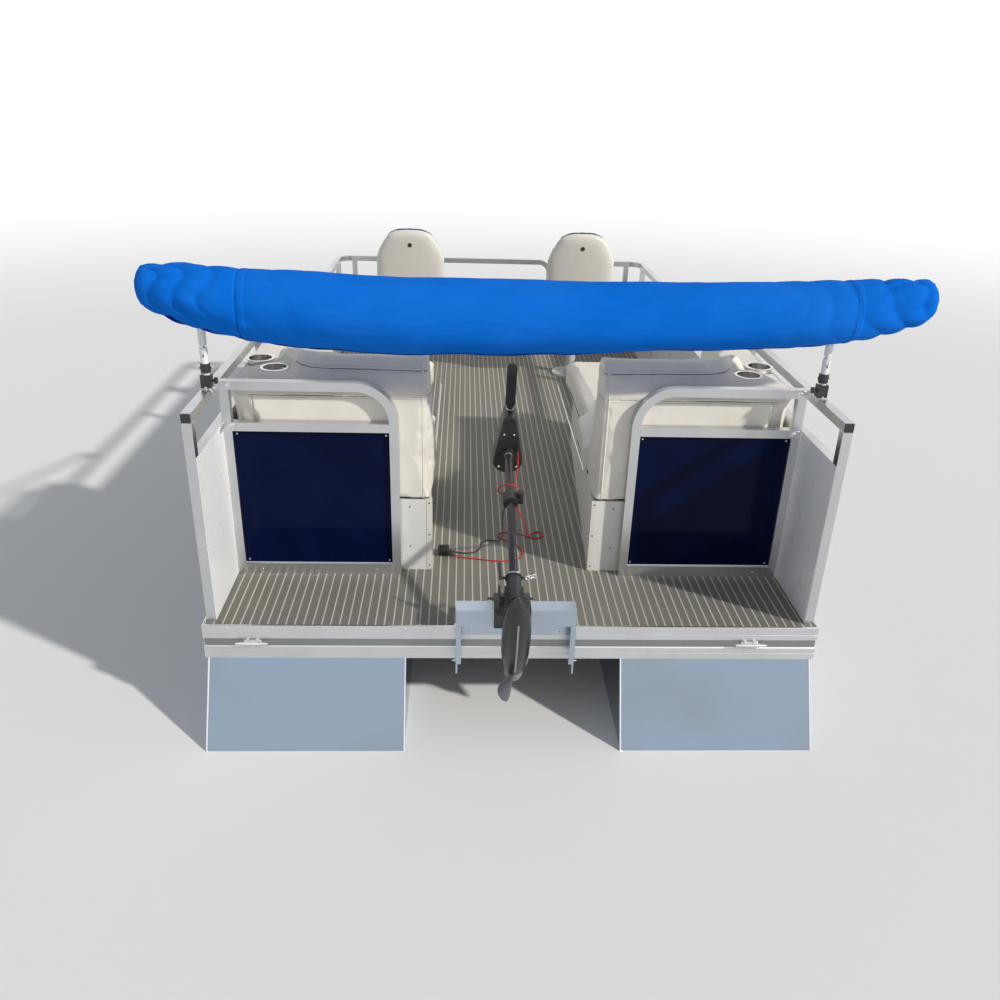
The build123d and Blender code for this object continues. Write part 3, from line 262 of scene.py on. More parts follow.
def deck_sheet(name):
    """Ribbed woven vinyl: dark flecked bands with a pale line between them, fore and aft."""
    f = Finish(name, (0.2, 0.19, 0.16), 0.62)
    pitch = 0.0305
    across = f.step("SeparateXYZ", "X", Vector=f.spot())
    phase = f.step("Math", "Value", {"operation": "FRACT"}, i0=f.sum(f.sum(across, pitch, "DIVIDE"), 50.25))
    line = f.sum(f.span(phase, 0.40, 0.44, 0, 1), f.span(phase, 0.56, 0.60, 1, 0), "MULTIPLY")
    flecks = f.cloud(1.0, 3, 0.7, stretch=(420, 110, 110))
    weave = f.waves(90.0, "X")
    rows = f.waves(48.0, "Y")
    dark = f.tint(f.span(flecks, 0.36, 0.66, 0, 1), (0.105, 0.100, 0.082), (0.250, 0.240, 0.200))
    pale = f.tint(f.span(flecks, 0.4, 0.7, 0, 1), (0.52, 0.50, 0.43), (0.66, 0.64, 0.56))
    worn = f.span(f.cloud(1.6, 5), 0.35, 0.75, 0.0, 0.28)
    f.set(Base_Color=f.tint(worn, f.tint(line, dark, pale), (0.30, 0.28, 0.23)))
    f.set(Roughness=f.span(flecks, 0.3, 0.7, 0.52, 0.78))
    f.relief(f.sum(weave, rows, "MULTIPLY"), 0.0006, 0.5)
    f.relief(line, 0.0012, 0.6)
    return f.material


def fence_skin(name, outward):
    """Gloss sheet in the fences: navy on the side that faces out, white on the side that faces in."""
    f = Finish(name, (0.001, 0.005, 0.035), 0.08, Specular_IOR_Level=0.07)
    facing = f.step("VectorMath", "Value", {"operation": "DOT_PRODUCT"}, i0=f.step("TexCoord", "Normal"), i1=outward)
    out = f.sum(facing, 0.0, "GREATER_THAN")
    haze = f.cloud(7.0, 6, 0.6)
    navy = f.tint(f.span(haze, 0.3, 0.8, 0, 1), (0.0006, 0.003, 0.024), (0.0012, 0.006, 0.040))
    white = f.tint(f.span(haze, 0.35, 0.75, 0, 1), (0.84, 0.85, 0.84), (0.76, 0.77, 0.76))
    f.set(Base_Color=f.tint(out, white, navy))
    streaks = f.span(f.cloud(1.0, 5, 0.7, stretch=(60, 60, 5)), 0.45, 0.7, 0.0, 0.05)
    f.set(Roughness=f.sum(f.span(out, 0, 1, 0.30, 0.07), streaks))
    f.relief(f.cloud(2.0, 2), 0.0015, 0.2)
    return f.material


def marine_vinyl(name, colour, shade):
    """Upholstery vinyl: pebbled grain, soft dirt in patches and a slight sheen."""
    f = Finish(name, colour, 0.45, Sheen_Weight=0.06, Sheen_Roughness=0.5)
    patches = f.cloud(6.0, 6, 0.6)
    f.worn(patches, 0.42, 0.80, 0.65, colour, shade)
    grain = f.cells(950.0)
    f.set(Roughness=f.sum(f.span(patches, 0.3, 0.7, 0.40, 0.55), f.span(grain, 0, 0.6, -0.03, 0.05)))
    f.relief(f.cloud(16.0, 3), 0.0016, 0.30)
    f.relief(grain, 0.00022, 0.5)
    return f.material


def boot_canvas(name, colour):
    """Canvas woven along the cloth's own UV, faded in patches, with uneven threads, fine creases and painted shade in
    the weave's hollows.
    """
    f = Finish(name, colour, 0.78, Specular_IOR_Level=0.04)
    warp = f.waves(260.0, "X", uv=True)
    weft = f.waves(260.0, "Y", uv=True)
    cloth = f.sum(warp, weft, "MULTIPLY")
    fade = f.cloud(2.6, 6, 0.6)
    slub = f.cloud(1.0, 4, 0.6, stretch=(6, 160, 1), uv=True)
    deep = [c * 0.62 for c in colour]
    light = (colour[0] + 0.012, colour[1] * 1.28, colour[2] * 1.16)
    shade = f.tint(f.span(fade, 0.3, 0.75, 0, 1), light, colour)
    shade = f.tint(f.span(slub, 0.45, 0.8, 0, 0.35), shade, deep)
    # Darker between the threads where the weave sinks: painted shade in its hollows
    f.set(Base_Color=f.tint(f.span(cloth, 0, 1, 0.25, 0), shade, deep))
    f.set(Roughness=f.span(cloth, 0, 1, 0.86, 0.70))
    f.relief(f.cloud(22.0, 5, 0.6), 0.0030, 0.5)
    f.relief(cloth, 0.0004, 0.5)
    return f.material


def moulded(name, colour, roughness, pebble=0.00015, dust=(0.25, 0.24, 0.22)):
    """Moulded plastic or rubber: fine pebble, scuffed patches and dust."""
    f = Finish(name, colour, roughness)
    patches = f.cloud(14.0, 6, 0.6)
    f.worn(patches, 0.5, 0.85, 0.22, colour, dust)
    scuffs = f.span(f.cloud(70.0, 8, 0.8), 0.6, 0.75, 0, 0.18)
    f.set(Roughness=f.sum(f.span(patches, 0.3, 0.7, roughness - 0.06, roughness + 0.08), scuffs))
    f.relief(f.cells(1300.0), pebble, 0.6)
    f.relief(f.cloud(30.0, 2), 0.0004, 0.2)
    return f.material


def powder_coat(name, colour, roughness):
    """Powder-coated metal: orange peel and light chalking."""
    f = Finish(name, colour, roughness, Coat_Weight=0.2, Coat_Roughness=0.2)
    patches = f.cloud(11.0, 5)
    f.worn(patches, 0.4, 0.8, 0.8, colour, [c * 0.88 + 0.02 for c in colour])
    f.set(Roughness=f.span(patches, 0.3, 0.7, roughness - 0.05, roughness + 0.1))
    f.relief(f.cloud(420.0, 2), 0.0001, 0.5)
    return f.material


def polished(name, colour, roughness):
    """Polished metal with fine hairlines and finger marks."""
    f = Finish(name, colour, roughness, 1.0)
    smears = f.cloud(45.0, 6, 0.7)
    hairs = f.cloud(1.0, 3, 0.6, stretch=(900, 900, 30))
    f.worn(smears, 0.4, 0.8, 0.6, colour, [c * 0.85 for c in colour])
    f.set(Roughness=f.sum(f.span(smears, 0.35, 0.75, roughness, roughness + 0.14), f.span(hairs, 0.4, 0.7, 0, 0.05)))
    f.relief(hairs, 0.00004, 0.4)
    return f.material


def plywood(name):
    """Edge and underside of the deck board."""
    f = Finish(name, (0.36, 0.25, 0.14), 0.7)
    plies = f.waves(95.0, "Z", 1.5)
    grain = f.cloud(1.0, 5, 0.6, stretch=(60, 4, 60))
    light = f.tint(f.span(grain, 0.3, 0.7, 0, 1), (0.42, 0.30, 0.17), (0.25, 0.16, 0.09))
    f.worn(plies, 0.4, 0.6, 0.5, light, (0.16, 0.10, 0.06))
    f.set(Roughness=f.span(grain, 0.3, 0.7, 0.6, 0.8))
    f.relief(grain, 0.0004, 0.5)
    return f.material


def cable(name, colour):
    """Sheathed cable: twisted lay under a satin skin, with grime."""
    f = Finish(name, colour, 0.42)
    grime = f.cloud(60.0, 5, 0.6)
    f.worn(grime, 0.45, 0.8, 0.5, colour, (0.06, 0.05, 0.045))
    f.set(Roughness=f.span(grime, 0.3, 0.7, 0.36, 0.6))
    f.relief(f.cloud(500.0, 2), 0.0001, 0.4)
    return f.material


# Each finish by its short name: how it is made, the record's material slot that it stands for, and its values
FINISHES = {
    "tube": (mill_aluminium, "rail_aluminium", "tube_aluminium", (0.64, 0.65, 0.66), 0.30, (500, 500, 500)),
    "extrusion": (mill_aluminium, "extruded_aluminium", "trim_aluminium", (0.72, 0.73, 0.74), 0.33, (8, 260, 260)),
    # The bracket's and the pontoon plates' blue tint is a painted reflection of the sky in the bare aluminium
    "bracket": (mill_aluminium, "plate_aluminium", "bracket_aluminium", (0.50, 0.57, 0.66), 0.24, (400, 400, 40)),
    "plate": (hull_plate, None, "pontoon_plate", (0.30, 0.38, 0.48)),
    "under": (mill_aluminium, None, "frame_aluminium", (0.70, 0.71, 0.72), 0.45, (200, 10, 200)),
    "deck": (deck_sheet, None, "deck_vinyl"),
    "ply": (plywood, None, "deck_plywood"),
    "cream": (marine_vinyl, "seat_vinyl", "cream_vinyl", (0.80, 0.76, 0.68), (0.64, 0.59, 0.50)),
    "navy": (marine_vinyl, "seat_vinyl", "navy_vinyl", (0.015, 0.055, 0.17), (0.01, 0.035, 0.11)),
    "moulded": (moulded, "moulded_base", "bone_moulding", (0.74, 0.73, 0.69), 0.48, 0.0002, (0.5, 0.47, 0.4)),
    "canvas": (boot_canvas, "canvas", "blue_canvas", (0.0, 0.150, 0.68)),
    "white": (powder_coat, "white_tube", "white_coat", (0.82, 0.82, 0.81), 0.32),
    "grey": (powder_coat, "pedestal_paint", "pedestal_coat", (0.55, 0.56, 0.57), 0.35),
    "black": (moulded, "black_plastic", "black_moulding", (0.022, 0.022, 0.023), 0.42),
    "paint": (powder_coat, "motor_paint", "motor_coat", (0.010, 0.010, 0.011), 0.34),
    "rubber": (moulded, "black_rubber", "black_rubber", (0.020, 0.020, 0.020), 0.62, 0.0003),
    "blade": (moulded, None, "propeller_plastic", (0.20, 0.20, 0.22), 0.34, 0.00008, (0.5, 0.48, 0.44)),
    "steel": (polished, "polished_steel", "polished_steel", (0.80, 0.80, 0.80), 0.10),
    "zinc": (polished, "polished_steel", "zinc_bolt", (0.70, 0.71, 0.72), 0.26),
    "red": (cable, "red_cable", "red_sheath", (0.56, 0.015, 0.015)),
    "lead": (cable, "black_rubber", "black_sheath", (0.018, 0.018, 0.018)),
    "thread": (marine_vinyl, "seat_vinyl", "sewing_thread", (0.66, 0.62, 0.54), (0.45, 0.42, 0.36)),
    "shell": (moulded, "moulded_base", "chair_moulding", (0.74, 0.71, 0.64), 0.38, 0.0001, (0.5, 0.47, 0.4)),
    "weld": (mill_aluminium, "plate_aluminium", "weld_bead", (0.80, 0.81, 0.82), 0.28, (60, 60, 60)),
    # A darker grey band laid in the trim's recess
    "insert": (mill_aluminium, "extruded_aluminium", "trim_insert", (0.30, 0.32, 0.32), 0.42, (8, 260, 260)),
    # A lighter grey along the motor's keel edge: a painted highlight
    "scuffed": (powder_coat, "motor_paint", "scuffed_edge", (0.30, 0.30, 0.29), 0.45),
    "liner": (powder_coat, "navy_panel", "panel_liner", (0.84, 0.85, 0.84), 0.30),
    # Near black, for screws, snaps and the seat boards, and as painted shade in the back's seams and in the gap round
    # the plinth
    "gap": (moulded, "black_plastic", "dark_seam", (0.03, 0.03, 0.032), 0.7),
    "stern_skin": (fence_skin, None, "stern_panel_skin", (0, -1, 0)),
    "bow_skin": (fence_skin, None, "bow_panel_skin", (0, 1, 0)),
    "port_skin": (fence_skin, None, "port_panel_skin", (-1, 1, 0)),
    "starboard_skin": (fence_skin, None, "starboard_panel_skin", (1, 1, 0)),
}
finishes = {short: make(*values) for short, (make, slot, *values) in FINISHES.items()}

# The CAD nodes that stay in view, by finish, with a star for each side's name
DRESS = {
    "under": "pontoon_rails cross_members", "ply": "deck_board", "deck": "deck_covering",
    "extrusion": "stern_trim bow_trim side_trim_*", "bracket": "motor_mount", "steel": "mooring_cleats cup_holders_*",
    "tube": "bow_gate_frame stern_fence_* side_fence_* bow_fence_*", "bow_skin": "bow_gate_panel bow_panel_*",
    "stern_skin": "stern_panel_*", "port_skin": "side_panels_port", "starboard_skin": "side_panels_starboard",
    "white": "canopy_frame support_pole_*", "paint": "motor_shaft motor_pod", "blade": "propeller",
    "black": "canopy_hinges pole_jaws clamp_bracket tilt_yoke depth_collar control_head",
    "plate": "pontoon_*", "moulded": "lounge_base_*", "grey": "chair_pedestal_*",
}


def dress_frame():
    """Gives each CAD node that stays in view its finish."""
    for finish, nodes in DRESS.items():
        for node in nodes.split():
            for name in {node.replace("*", side) for side, _ in SIDES}:
                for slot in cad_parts[name].material_slots:
                    slot.material = finishes[finish]


# Making pieces

def piece(name, bm, finish, body="hull", smooth=35):
    """Makes a finished mesh into a piece of the boat, rounded where its faces turn less than some degrees."""
    mesh = bpy.data.meshes.new(name)
    bm.to_mesh(mesh)
    bm.free()
    mesh.shade_smooth()
    mesh.set_sharp_from_angle(angle=math.radians(smooth))
    mesh.materials.append(finishes[finish])
    made = show(name, mesh)
    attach(made, body)
    return made


# Electric leads

def stowed():
    """Frame of the stowed motor: origin on the shaft beside the tilt axis, Z up the shaft, Y to the pod's nose."""
    angle = math.radians(20)
    up = Vector((0, math.cos(angle), math.sin(angle)))
    nose = Vector((0, -math.sin(angle), math.cos(angle)))
    origin = place(-0.014, -0.072, 0.141) + nose * 0.067
    return Matrix.Translation(origin) @ Matrix(((-1, 0, 0), nose, up)).transposed().to_4x4()


LEAD_RADIUS = 0.0025


def cable_line(name, points, radius):
    """One smooth spline through a route's points, as a curve."""
    curve = bpy.data.curves.new(name, "CURVE")
    curve.dimensions = "3D"
    spline = curve.splines.new("NURBS")
    spline.points.add(len(points) - 1)
    for point, at in zip(spline.points, points):
        point.co = (*at, 1)
    spline.order_u = 3
    spline.use_endpoint_u = True
    spline.resolution_u = 6
    curve.bevel_depth = radius
    curve.bevel_resolution = 3
    curve.use_fill_caps = True
    return curve


def skin_of(curve):
    """A curve's skin as a mesh, or its bare line where the curve has no thickness."""
    work = bpy.data.objects.new("work", curve)
    mesh = bpy.data.meshes.new_from_object(work)
    bpy.data.objects.remove(work)
    return mesh


def hang_lead(name, points, finish, node):
    """A cable on the deck, and the line that it follows."""
    line = skin_of(cable_line(name, points, 0))
    skin = skin_of(cable_line(name, points, LEAD_RADIUS))
    skin.shade_smooth()
    skin.materials.append(finishes[finish])
    lead = show(name, skin)
    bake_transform(lead)
    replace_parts(lead, node)
    return lead, [tuple(v.co) for v in line.vertices]


def lay_leads():
    """The lead from the control head into the depth collar, and the pair from there to the plug on the deck."""
    head_route = [(-34, 16, 667.5), (-36, 13, 642), (-35, 6, 606), (-31, -1, 570), (-27, -12, 536),
                  (-14, -32, 508), (10, -42, 488), (34, -30, 474), (45, -4, 464), (37, 24, 457),
                  (13, 41, 451), (-17, 38, 448), (-37, 19, 447), (-39, -6, 444), (-22, -17, 439.7)]
    red_route = [(-0.3, 304, 323.8), (14, 312, 300), (28, 334, 266), (41, 370, 230), (52, 412, 190),
                 (62, 458, 147), (70, 506, 105), (78, 556, 66), (86, 606, 36), (94, 654, 17), (108, 698, 6),
                 (133, 716, 3), (153, 694, 2.8), (146, 664, 2.8), (118, 650, 2.8), (88, 664, 2.8),
                 (60, 690, 2.8), (24, 698, 2.8), (-12, 708, 2.8), (-38, 690, 2.8), (-36, 658, 2.8),
                 (-6, 634, 2.8), (28, 606, 2.8), (52, 570, 2.8), (61, 526, 2.8), (46, 484, 2.8),
                 (8, 461, 2.8), (-38, 459, 2.8), (-88, 466, 2.8), (-138, 478, 2.8), (-180, 484, 4),
                 (-208, 490, 7.5), (-232.9, 498, 12)]
    black_route = [(-28.2, 304, 323.8), (-34.5, 312, 300), (-37, 332, 264), (-36, 366, 224), (-33, 406, 180),
                   (-31, 450, 134), (-31, 498, 90), (-33, 546, 50), (-38, 590, 20), (-52, 626, 5),
                   (-80, 638, 2.8), (-104, 618, 2.8), (-108, 582, 2.8), (-118, 546, 2.8), (-144, 524, 2.8),
                   (-178, 520, 3.5), (-208, 522, 7), (-233.3, 522, 12)]
    to_motor, mm = stowed(), 0.001
    head_points = [to_motor @ (Vector(p) * mm) for p in head_route]
    red_points, black_points = ([place(*Vector(p) * mm) for p in route] for route in (red_route, black_route))
    head = show("head_cable", cable_line("head_cable", head_points, LEAD_RADIUS))
    head.data.materials.append(finishes["red"])
    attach(head, "motor_turn")
    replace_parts(head, "head_lead")
    red, red_line = hang_lead("red_cable", red_points, "red", "red_lead")
    black, black_line = hang_lead("black_cable", black_points, "lead", "black_lead")
    plug = make_plug([(red_points[-1], red_points[-2]), (black_points[-1], black_points[-2])])
    cones = []
    for routes in ([head_points], [red_points, black_points]):
        cones.append(bmesh.new())
        for points in routes:
            relief(cones[-1], points[0], points[1] - points[0])
    at_head = piece("head_cable_relief", cones[0], "rubber", "motor_turn", 40)
    piece("collar_cable_reliefs", cones[1], "rubber", "motor_depth", 40)
    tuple(head_points[0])
    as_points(red_line)
    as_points(black_line)


# Shapes: shared steps

def ring(bm, count, shape):
    """A closed ring of points, each moved to where the shape puts its angle."""
    made = bmesh.ops.create_circle(bm, segments=count, radius=1)["verts"]
    for v in made:
        v.co = shape(math.atan2(v.co.y, v.co.x))
    return made


def loft(bm, rings, cap=True):
    """Joins rings of equal count into one skin, and closes its ends."""
    for first, second in zip(rings, rings[1:]):
        edges = {e for v in first for e in v.link_edges if e.other_vert(v) in first}
        edges |= {e for v in second for e in v.link_edges if e.other_vert(v) in second}
        bmesh.ops.bridge_loops(bm, edges=list(edges))
    if cap:
        for end in (rings[0], rings[-1]):
            face = bmesh.ops.contextual_create(bm, geom=end)["faces"]
            bmesh.ops.poke(bm, faces=face)
    bmesh.ops.recalc_face_normals(bm, faces=bm.faces)


def turned(profile, count=32, close=True, centre=(0, 0, 0)):
    """A shape turned round an upright axis from its (radius, height) profile."""
    bm = bmesh.new()
    rings = [ring(bm, count, lambda a, r=radius, h=height: Vector((r * math.cos(a), r * math.sin(a), h)))
             for radius, height in profile]
    loft(bm, rings, cap=close)
    bmesh.ops.translate(bm, verts=bm.verts, vec=centre)
    return bm


def add(bm, other):
    """Adds another mesh to this one, and frees it."""
    mesh = bpy.data.meshes.new("part")
    other.to_mesh(mesh)
    other.free()
    bm.from_mesh(mesh)
    bpy.data.meshes.remove(mesh)


def stack(ring_of, layers, *size):
    """A closed shape through the rings that a function makes, one for each (place, inset) layer."""
    bm = bmesh.new()
    loft(bm, [ring_of(bm, *layer, *size) for layer in layers])
    return bm


def moved(bm, matrix):
    """A mesh turned and moved by a matrix."""
    bmesh.ops.transform(bm, matrix=matrix, verts=bm.verts)
    return bm


def drum(bm, radius, depth, matrix, sides, tip=None):
    """A round or many-sided bar along a matrix's Z, centred on its origin."""
    bmesh.ops.create_cone(bm, segments=sides, radius1=radius, radius2=tip or radius, depth=depth, cap_ends=True,
                          matrix=matrix)


def raised(outline, tall, rim=None):
    """A flat outline, or only a rim inside it, raised into a solid."""
    bm = bmesh.new()
    face = bm.faces.new([bm.verts.new(point) for point in outline])
    if rim:
        bmesh.ops.inset_region(bm, faces=[face], thickness=rim, use_boundary=True, use_even_offset=True)
        bmesh.ops.delete(bm, geom=[face], context="FACES")
    grown = bmesh.ops.extrude_face_region(bm, geom=bm.faces[:])["geom"]
    bmesh.ops.translate(bm, verts=[v for v in grown if isinstance(v, bmesh.types.BMVert)], vec=(0, 0, tall))
    bmesh.ops.recalc_face_normals(bm, faces=bm.faces)
    return bm


def slab(low, high, corner=0.0):
    """A block between two corners with its upright edges rounded."""
    bm = bmesh.new()
    bmesh.ops.create_cube(bm, size=1)
    bmesh.ops.scale(bm, verts=bm.verts, vec=high - low)
    bmesh.ops.translate(bm, verts=bm.verts, vec=(low + high) / 2)
    if corner:
        round_edges(bm, [e for e in bm.edges if abs(e.verts[0].co.z - e.verts[1].co.z) > 1e-5], corner, 3)
    return bm


def round_edges(bm, edges, offset, steps):
    """Rounds some edges of a mesh."""
    bmesh.ops.bevel(bm, geom=edges, offset=offset, segments=steps, profile=0.5, affect="EDGES", material=-1,
                    clamp_overlap=True)


SWELL_FRAMES = 20


def held(bm, kind, frames=0, **settings):
    """Puts a modifier over a mesh, runs it for some frames and returns the result. In a setting's name, two low
    lines stand for a dot."""
    mesh = bpy.data.meshes.new("work")
    bm.to_mesh(mesh)
    bm.free()
    work = show("work", mesh)
    modifier = work.modifiers.new(kind.lower(), kind)
    for path, value in settings.items():
        *owners, last = path.split("__")
        owner = modifier
        for name in owners:
            owner = getattr(owner, name)
        setattr(owner, last, value)
    for frame_number in range(1, frames + 1):
        bpy.context.scene.frame_set(frame_number)
    result = bpy.data.meshes.new_from_object(work.evaluated_get(bpy.context.evaluated_depsgraph_get()))
    bpy.data.objects.remove(work)
    out = bmesh.new()
    out.from_mesh(result)
    bpy.data.meshes.remove(result)
    return out


def swell(bm, most):
    """Blows a closed shape up as cloth over foam, no point moving further than about the most."""
    rest = [v.co.copy() for v in bm.verts]
    out = held(bm, "CLOTH", SWELL_FRAMES, settings__quality=4, settings__use_pressure=True,
               settings__uniform_pressure_force=4.0, settings__effector_weights__gravity=0,
               settings__bending_stiffness=2.0, point_cache__frame_end=SWELL_FRAMES)
    for v, start in zip(out.verts, rest):
        move = v.co - start
        if move.length > 1e-6:
            v.co = start + move * (most * math.tanh(move.length / most) / move.length)
    return out


def upholster(bm, voxel, shrink, most, soften):
    """Turns a hard shape into a stuffed one: even mesh, drawn in a little, softened, then swollen."""
    bm = held(bm, "REMESH", mode="VOXEL", voxel_size=voxel)
    for _ in range(soften):
        bmesh.ops.smooth_vert(bm, verts=bm.verts, factor=0.5, use_axis_x=True, use_axis_y=True, use_axis_z=True)
    bm.normal_update()
    for v in bm.verts:
        v.co -= v.normal * shrink
    bm = swell(bm, most)
    return held(bm, "SUBSURF", levels=1, render_levels=1)


def press_flat(bm, low, high):
    """Keeps a cushion inside a box, so that it's flat where it rests on something."""
    for v in bm.verts:
        for axis in range(3):
            v.co[axis] = min(max(v.co[axis], low[axis]), high[axis])


def cut_line(bm, point, normal, **clear):
    """Cuts a mesh along a plane and returns the new points on it."""
    geom = bm.verts[:] + bm.edges[:] + bm.faces[:]
    cut = bmesh.ops.bisect_plane(bm, geom=geom, dist=1e-5, plane_co=point, plane_no=normal, **clear)["geom_cut"]
    return [v for v in cut if isinstance(v, bmesh.types.BMVert)]


def sink_seam(bm, point, normal, depth=0.0035, width=0.005, where=None):
    """Sinks a sewn seam into a cushion along a plane."""
    normal = Vector(normal)
    for side in (-width, width):
        cut_line(bm, point + normal * side, normal)
    line = cut_line(bm, point, normal)
    bm.normal_update()
    for v in line:
        if where is None or where(v.co):
            v.co -= v.normal * depth


def chains(bm, point, normal, where=None):
    """Runs of points, in order, along which a plane cuts a mesh."""
    copy = bm.copy()
    cut_line(copy, point, normal, clear_inner=True, clear_outer=True)
    if where:
        bmesh.ops.delete(copy, geom=[v for v in copy.verts if not where(v.co)], context="VERTS")
    left = set(copy.verts)
    runs = []
    while left:
        ends = [v for v in left if len(v.link_edges) < 2]
        v = min(ends or left, key=lambda u: tuple(u.co))
        run = []
        while v:
            left.discard(v)
            run.append(v.co.copy())
            v = next((e.other_vert(v) for e in v.link_edges if e.other_vert(v) in left), None)
        runs.append((run, not ends))
    copy.free()
    return [(run, closed) for run, closed in runs if len(run) > 6]


def tube(runs, radius, sides=1, ripple=1.0):
    """A round bead along (points, closed) runs, with every second point slimmer by a ripple."""
    curve = bpy.data.curves.new("bead", "CURVE")
    curve.dimensions = "3D"
    curve.bevel_depth = radius
    curve.bevel_resolution = sides
    curve.use_fill_caps = True
    for run, closed in runs:
        spline = curve.splines.new("POLY")
        spline.points.add(len(run) - 1)
        spline.use_cyclic_u = closed
        for number, (point, at) in enumerate(zip(spline.points, run)):
            point.co = (*at, 1)
            point.radius = 1.0 if number % 2 else ripple
    bm = bmesh.new()
    bm.from_mesh(skin_of(curve))
    return bm


def cord_along(runs, radius, lift, skin, sides=2):
    """A round bead along runs of points, lifted off a skin's surface."""
    tree = BVHTree.FromBMesh(skin)

    def lifted(at):
        return at + tree.find_nearest(at)[1] * lift
    return tube([([lifted(at) for at in run], closed) for run, closed in runs], radius, sides)


def in_pair(name, bm, finish, bodies="hull", nodes=None, smooth=180):
    """Makes the starboard piece and its mirror image to port, on bodies and in place of nodes named by side."""
    made = {}
    for side, sign in SIDES:
        copy = bm.copy()
        if sign < 0:
            bmesh.ops.scale(copy, verts=copy.verts, vec=(-1, 1, 1))
            bmesh.ops.reverse_faces(copy, faces=copy.faces)
        body = bodies if bodies in ("hull", "canopy") else f"{bodies}_{side}"
        made[side] = piece(f"{name}_{side}", copy, finish, body, smooth)
        if nodes:
            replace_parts(made[side], *[f"{node}_{side}" for node in nodes])
    bm.free()
    return made


def node_shape(node):
    """A closed copy of a CAD node's mesh."""
    bm = bmesh.new()
    bm.from_mesh(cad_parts[node].data)
    bmesh.ops.remove_doubles(bm, verts=bm.verts, dist=0.0002)
    return bm


# Canopy cover

COVER_PORT, COVER_STARBOARD = -1.225, 1.362
COVER_SEAMS = (-0.886, 1.080)
# Distance from a tip, half height and drop of the middle below the upper edge, both as shares of the middle's half
COVER_SWELL = ((0.0, 0.03), (0.006, 0.28), (0.016, 0.46), (0.04, 0.56), (0.07, 0.62), (0.115, 0.69), (0.234, 0.82),
               (0.342, 0.87), (0.70, 0.97), (1.20, 1.0))
COVER_DROP = ((0.0, 0.54), (0.016, 0.50), (0.07, 0.55), (0.115, 0.61), (0.234, 0.77), (0.342, 0.86), (0.70, 0.97),
              (1.20, 1.0))
COVER_HALF, COVER_TOP, COVER_Y, COVER_GIRTH = 0.124, 1.131, 0.290, 0.76
# Where the cloth's edges lie round the bundle, in degrees, and how thick it and the tape on its seams are
COVER_START, COVER_ROUND, CLOTH = -96, 378, 0.0014
# How much lower the cover's underside hangs along the beam
COVER_HANG = ((-1.20, 0.0), (-0.95, 0.010), (-0.70, 0.019), (-0.45, 0.012), (-0.10, 0.002), (0.10, -0.012),
              (0.40, -0.018), (0.75, -0.019), (1.00, -0.006), (1.30, 0.0))


def along_table(table, at):
    """Reads a table of (place, value) between its rows, smoothly."""
    for (a, low), (b, high) in zip(table, table[1:]):
        if at <= b:
            share = max(0.0, (at - a) / (b - a))
            return low + (high - low) * share
    return table[-1][1]


def cover_point(x, turn):
    """A point of the canopy's cover from its place along the boat's beam and round the bundle."""
    tip = max(0.0, min(x - COVER_PORT, COVER_STARBOARD - x))
    swell = along_table(COVER_SWELL, tip)
    middle = (COVER_PORT + COVER_STARBOARD) / 2
    half = COVER_HALF * swell
    top = COVER_TOP + 0.017 * min(1.0, abs(x - middle) / 0.95) ** 2
    side, rise = math.cos(turn), math.sin(turn)
    # The bundle is fuller below than above, and its cloth hangs straighter behind than in front
    lobe = 1 + 0.05 * math.cos(2 * turn) - 0.03 * rise
    gather = max(0.0, 1 - tip / 0.30) if tip < 0.30 else 0.0
    slack = 0.25 + 0.75 * gather
    at = Vector((x * 3.4, side * 1.2, rise * 1.2))
    folds = noise.noise(at * 1.3 + Vector((4.1, 0, 0))) * 0.006
    folds += (0.5 - abs(noise.noise(Vector((x * 7.0 + turn * 1.3, turn * 2.4, 2.7))))) * 0.010 * slack
    pucker = abs(math.sin(turn * 5 + 3.0 * noise.noise(Vector((x * 6, 0, 9))) + x * 9))
    folds += (pucker ** 0.7 - 0.6) * 0.009 * min(1.0, gather * 2.2) * min(1.0, swell)
    # Deep folds run round the gathered ends, and fade in the full part beside them
    near = max(0.0, min(1.0, (0.62 - tip) / 0.34)) * min(1.0, tip / 0.05)
    fold = abs(math.sin(x * 29 + 1.1 * math.sin(turn + 0.7) + 3.2 * noise.noise(Vector((x * 3, turn * 0.8, 4)))))
    folds += (fold ** 0.55 - 0.72) * 0.019 * near * (0.30 + 0.70 * gather)
    folds += noise.noise(Vector((x * 16, turn * 5.0, 5.0))) * 0.0035 * (0.2 + gather)
    sag = along_table(COVER_HANG, x) + noise.noise(Vector((x * 5.5, 0.3, 1.7))) * 0.004
    drag = max(0.0, -rise) ** 2 * sag
    reach = half * lobe + folds * min(1.0, swell * 1.3)
    depth = reach * 0.93
    centre = top - COVER_HALF * along_table(COVER_DROP, tip)
    return Vector((x, COVER_Y + side * depth, centre + rise * reach - drag))


